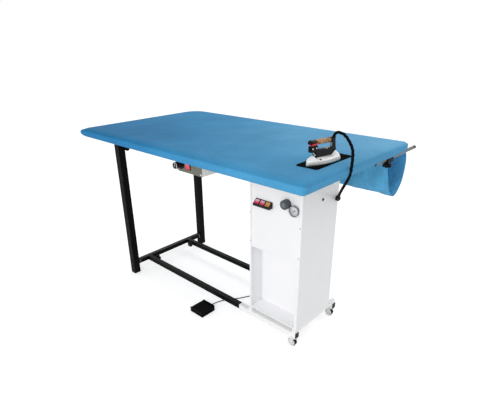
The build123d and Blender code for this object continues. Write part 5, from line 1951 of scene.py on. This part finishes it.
def node_finishes() -> list[tuple[str, Finish, str]]:
    """Lists the finishes of the CAD nodes that stay.

    Returns:
        Each material's name, its finish and the nodes that wear it.
    """
    black_coat = {"roughness": 0.45, "peel": 0.22, "variation": 0.1, "gloss": 0.05}
    white_coat = {"roughness": 0.34, "peel": 0.12, "variation": 0.01, "gloss": 0.3}
    table = [
        # The two black coats carry painted top light, weaker on the long tubes.
        ("frame_black", PowderCoat(srgb(7, 7, 8), painted_top_light=srgb(66, 66, 64), **black_coat),
         "leg_front leg_rear leg_brackets cross_tube trough_brackets"),
        ("tube_black", PowderCoat(srgb(6, 6, 7), painted_top_light=srgb(38, 39, 39), **black_coat), "long_tubes"),
        ("frame_white", PowderCoat(srgb(251, 251, 250), 0.35, 0.12, 0.015, 0.3), "base_tubes base_rails"),
        ("cabinet_paint", PowderCoat(srgb(246, 247, 248), **white_coat), "cabinet_shell cabinet_front_panel"),
        # The niche's paint is a lighter copy of the cabinet's, painted light for its shaded inside.
        ("niche_paint_brightened", PowderCoat(srgb(253, 253, 255), **white_coat), "cabinet_niche"),
        ("box_paint", BoxPaint(srgb(113, 113, 101), srgb(244, 242, 238), srgb(18, 18, 19), -0.3770, -0.3784),
         "control_box"),
        ("black_plastic", MouldedPlastic(srgb(15, 15, 16), 0.42, gloss=0.1),
         "leg_feet base_tube_caps star_knob_front star_knob_rear side_grommet cable_gland "
         "trough_arm_tips trough_knob_left trough_knob_right"),
        ("bright_steel", Metal(srgb(205, 205, 208), 0.22), "case_screws"),
        ("bolt_steel", Metal(srgb(96, 96, 98), 0.4), "cross_bolts"),
        ("pan_metal", Metal(srgb(176, 178, 180), 0.4, (1.0, 12.0, 1.0)),
         "table_work_plate table_pan fan_housing"),
        ("rotor_metal", MouldedPlastic(srgb(60, 62, 66)), "fan_rotor"),
        ("motor_metal", PowderCoat(srgb(70, 72, 76)), "fan_motor"),
        ("thermostat_black", MouldedPlastic(srgb(24, 24, 25), 0.3, 0.12), "thermostat_knob"),
        ("caster_plastic", MouldedPlastic(srgb(232, 232, 230), 0.35, 0.1),
         "caster_fork_front caster_fork_rear"),
        ("console_black", MouldedPlastic(srgb(34, 34, 36), 0.4, 0.15), "rocker_console"),
        ("knob_grey", MouldedPlastic(srgb(80, 87, 92), 0.45, 0.2, gloss=0.15), "regulator_knob"),
        ("gauge_metal", Metal(srgb(150, 151, 158), 0.25), "gauge_case"),
        ("needle_black", PowderCoat(srgb(20, 20, 20), 0.5), "gauge_needle"),
        ("gauge_glass", ClearLens(), "gauge_lens"),
        ("gland_rubber", Rubber(srgb(28, 28, 29), 0.6), "hose_gland"),
        ("boiler_steel", Metal(srgb(190, 190, 190), 0.35), "boiler"),
        ("valve_brass", Metal(srgb(196, 160, 84), 0.3), "steam_valve"),
        ("sole_aluminium", Metal(srgb(206, 207, 210), 0.3, (1.0, 1.0, 8.0)), "iron_soleplate"),
        ("mat_rubber", Rubber(srgb(7, 7, 8), 0.95, 700.0, 0.02), "iron_mat"),
        ("pedal_plastic", MouldedPlastic(srgb(8, 8, 8), 0.55, 0.35, gloss=0.05), "pedal_base pedal_treadle"),
        ("arm_metal", PowderCoat(srgb(98, 92, 86), 0.35, 0.2), "trough_arms"),
        ("rod_steel", Metal(srgb(190, 190, 192), 0.25), "trough_rods"),
    ]
    for name in ("caster_wheel_front", "caster_wheel_rear"):
        low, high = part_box(name)
        tread = CasterTread(((low[0] + high[0]) / 2, 0.020), srgb(16, 16, 18), srgb(232, 232, 234))
        table.append((name + "_finish", tread, name))
    for name, colour, pale in (
        ("rocker_red_left", srgb(216, 58, 88), srgb(222, 164, 180)),
        ("rocker_red_middle", srgb(216, 58, 88), srgb(222, 160, 176)),
        ("rocker_amber", srgb(196, 128, 56), srgb(206, 152, 92)),
        ("main_rocker", srgb(226, 30, 60), srgb(228, 62, 88)),
    ):
        table.append((name + "_face", RockerFace(colour, pale, *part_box(name)), name))
    return table


def dress_nodes(nodes: Mapping[str, Piece]) -> None:
    """Assigns each carried-over node's material to its slots.

    Args:
        nodes: The CAD nodes by name.
    """
    for title, finish, names in node_finishes():
        material = finish.material(title)
        for name in names.split():
            for slot in nodes[name].material_slots:
                slot.material = material
            log.info("%s in %s", name, title)


def main() -> None:
    """Builds the camera, the cords and the pieces in order, and reports each."""
    logging.basicConfig(level=logging.INFO, format="%(message)s")
    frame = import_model()
    Bench.clear()
    for assembly in (Camera(), Cords(), Studio(), WorkTable(), Iron(), LinenTrough(), Fittings()):
        assembly.build()
    dress_nodes(frame["nodes"])
    Bench.clear()


if __name__ == "__main__":
    main()
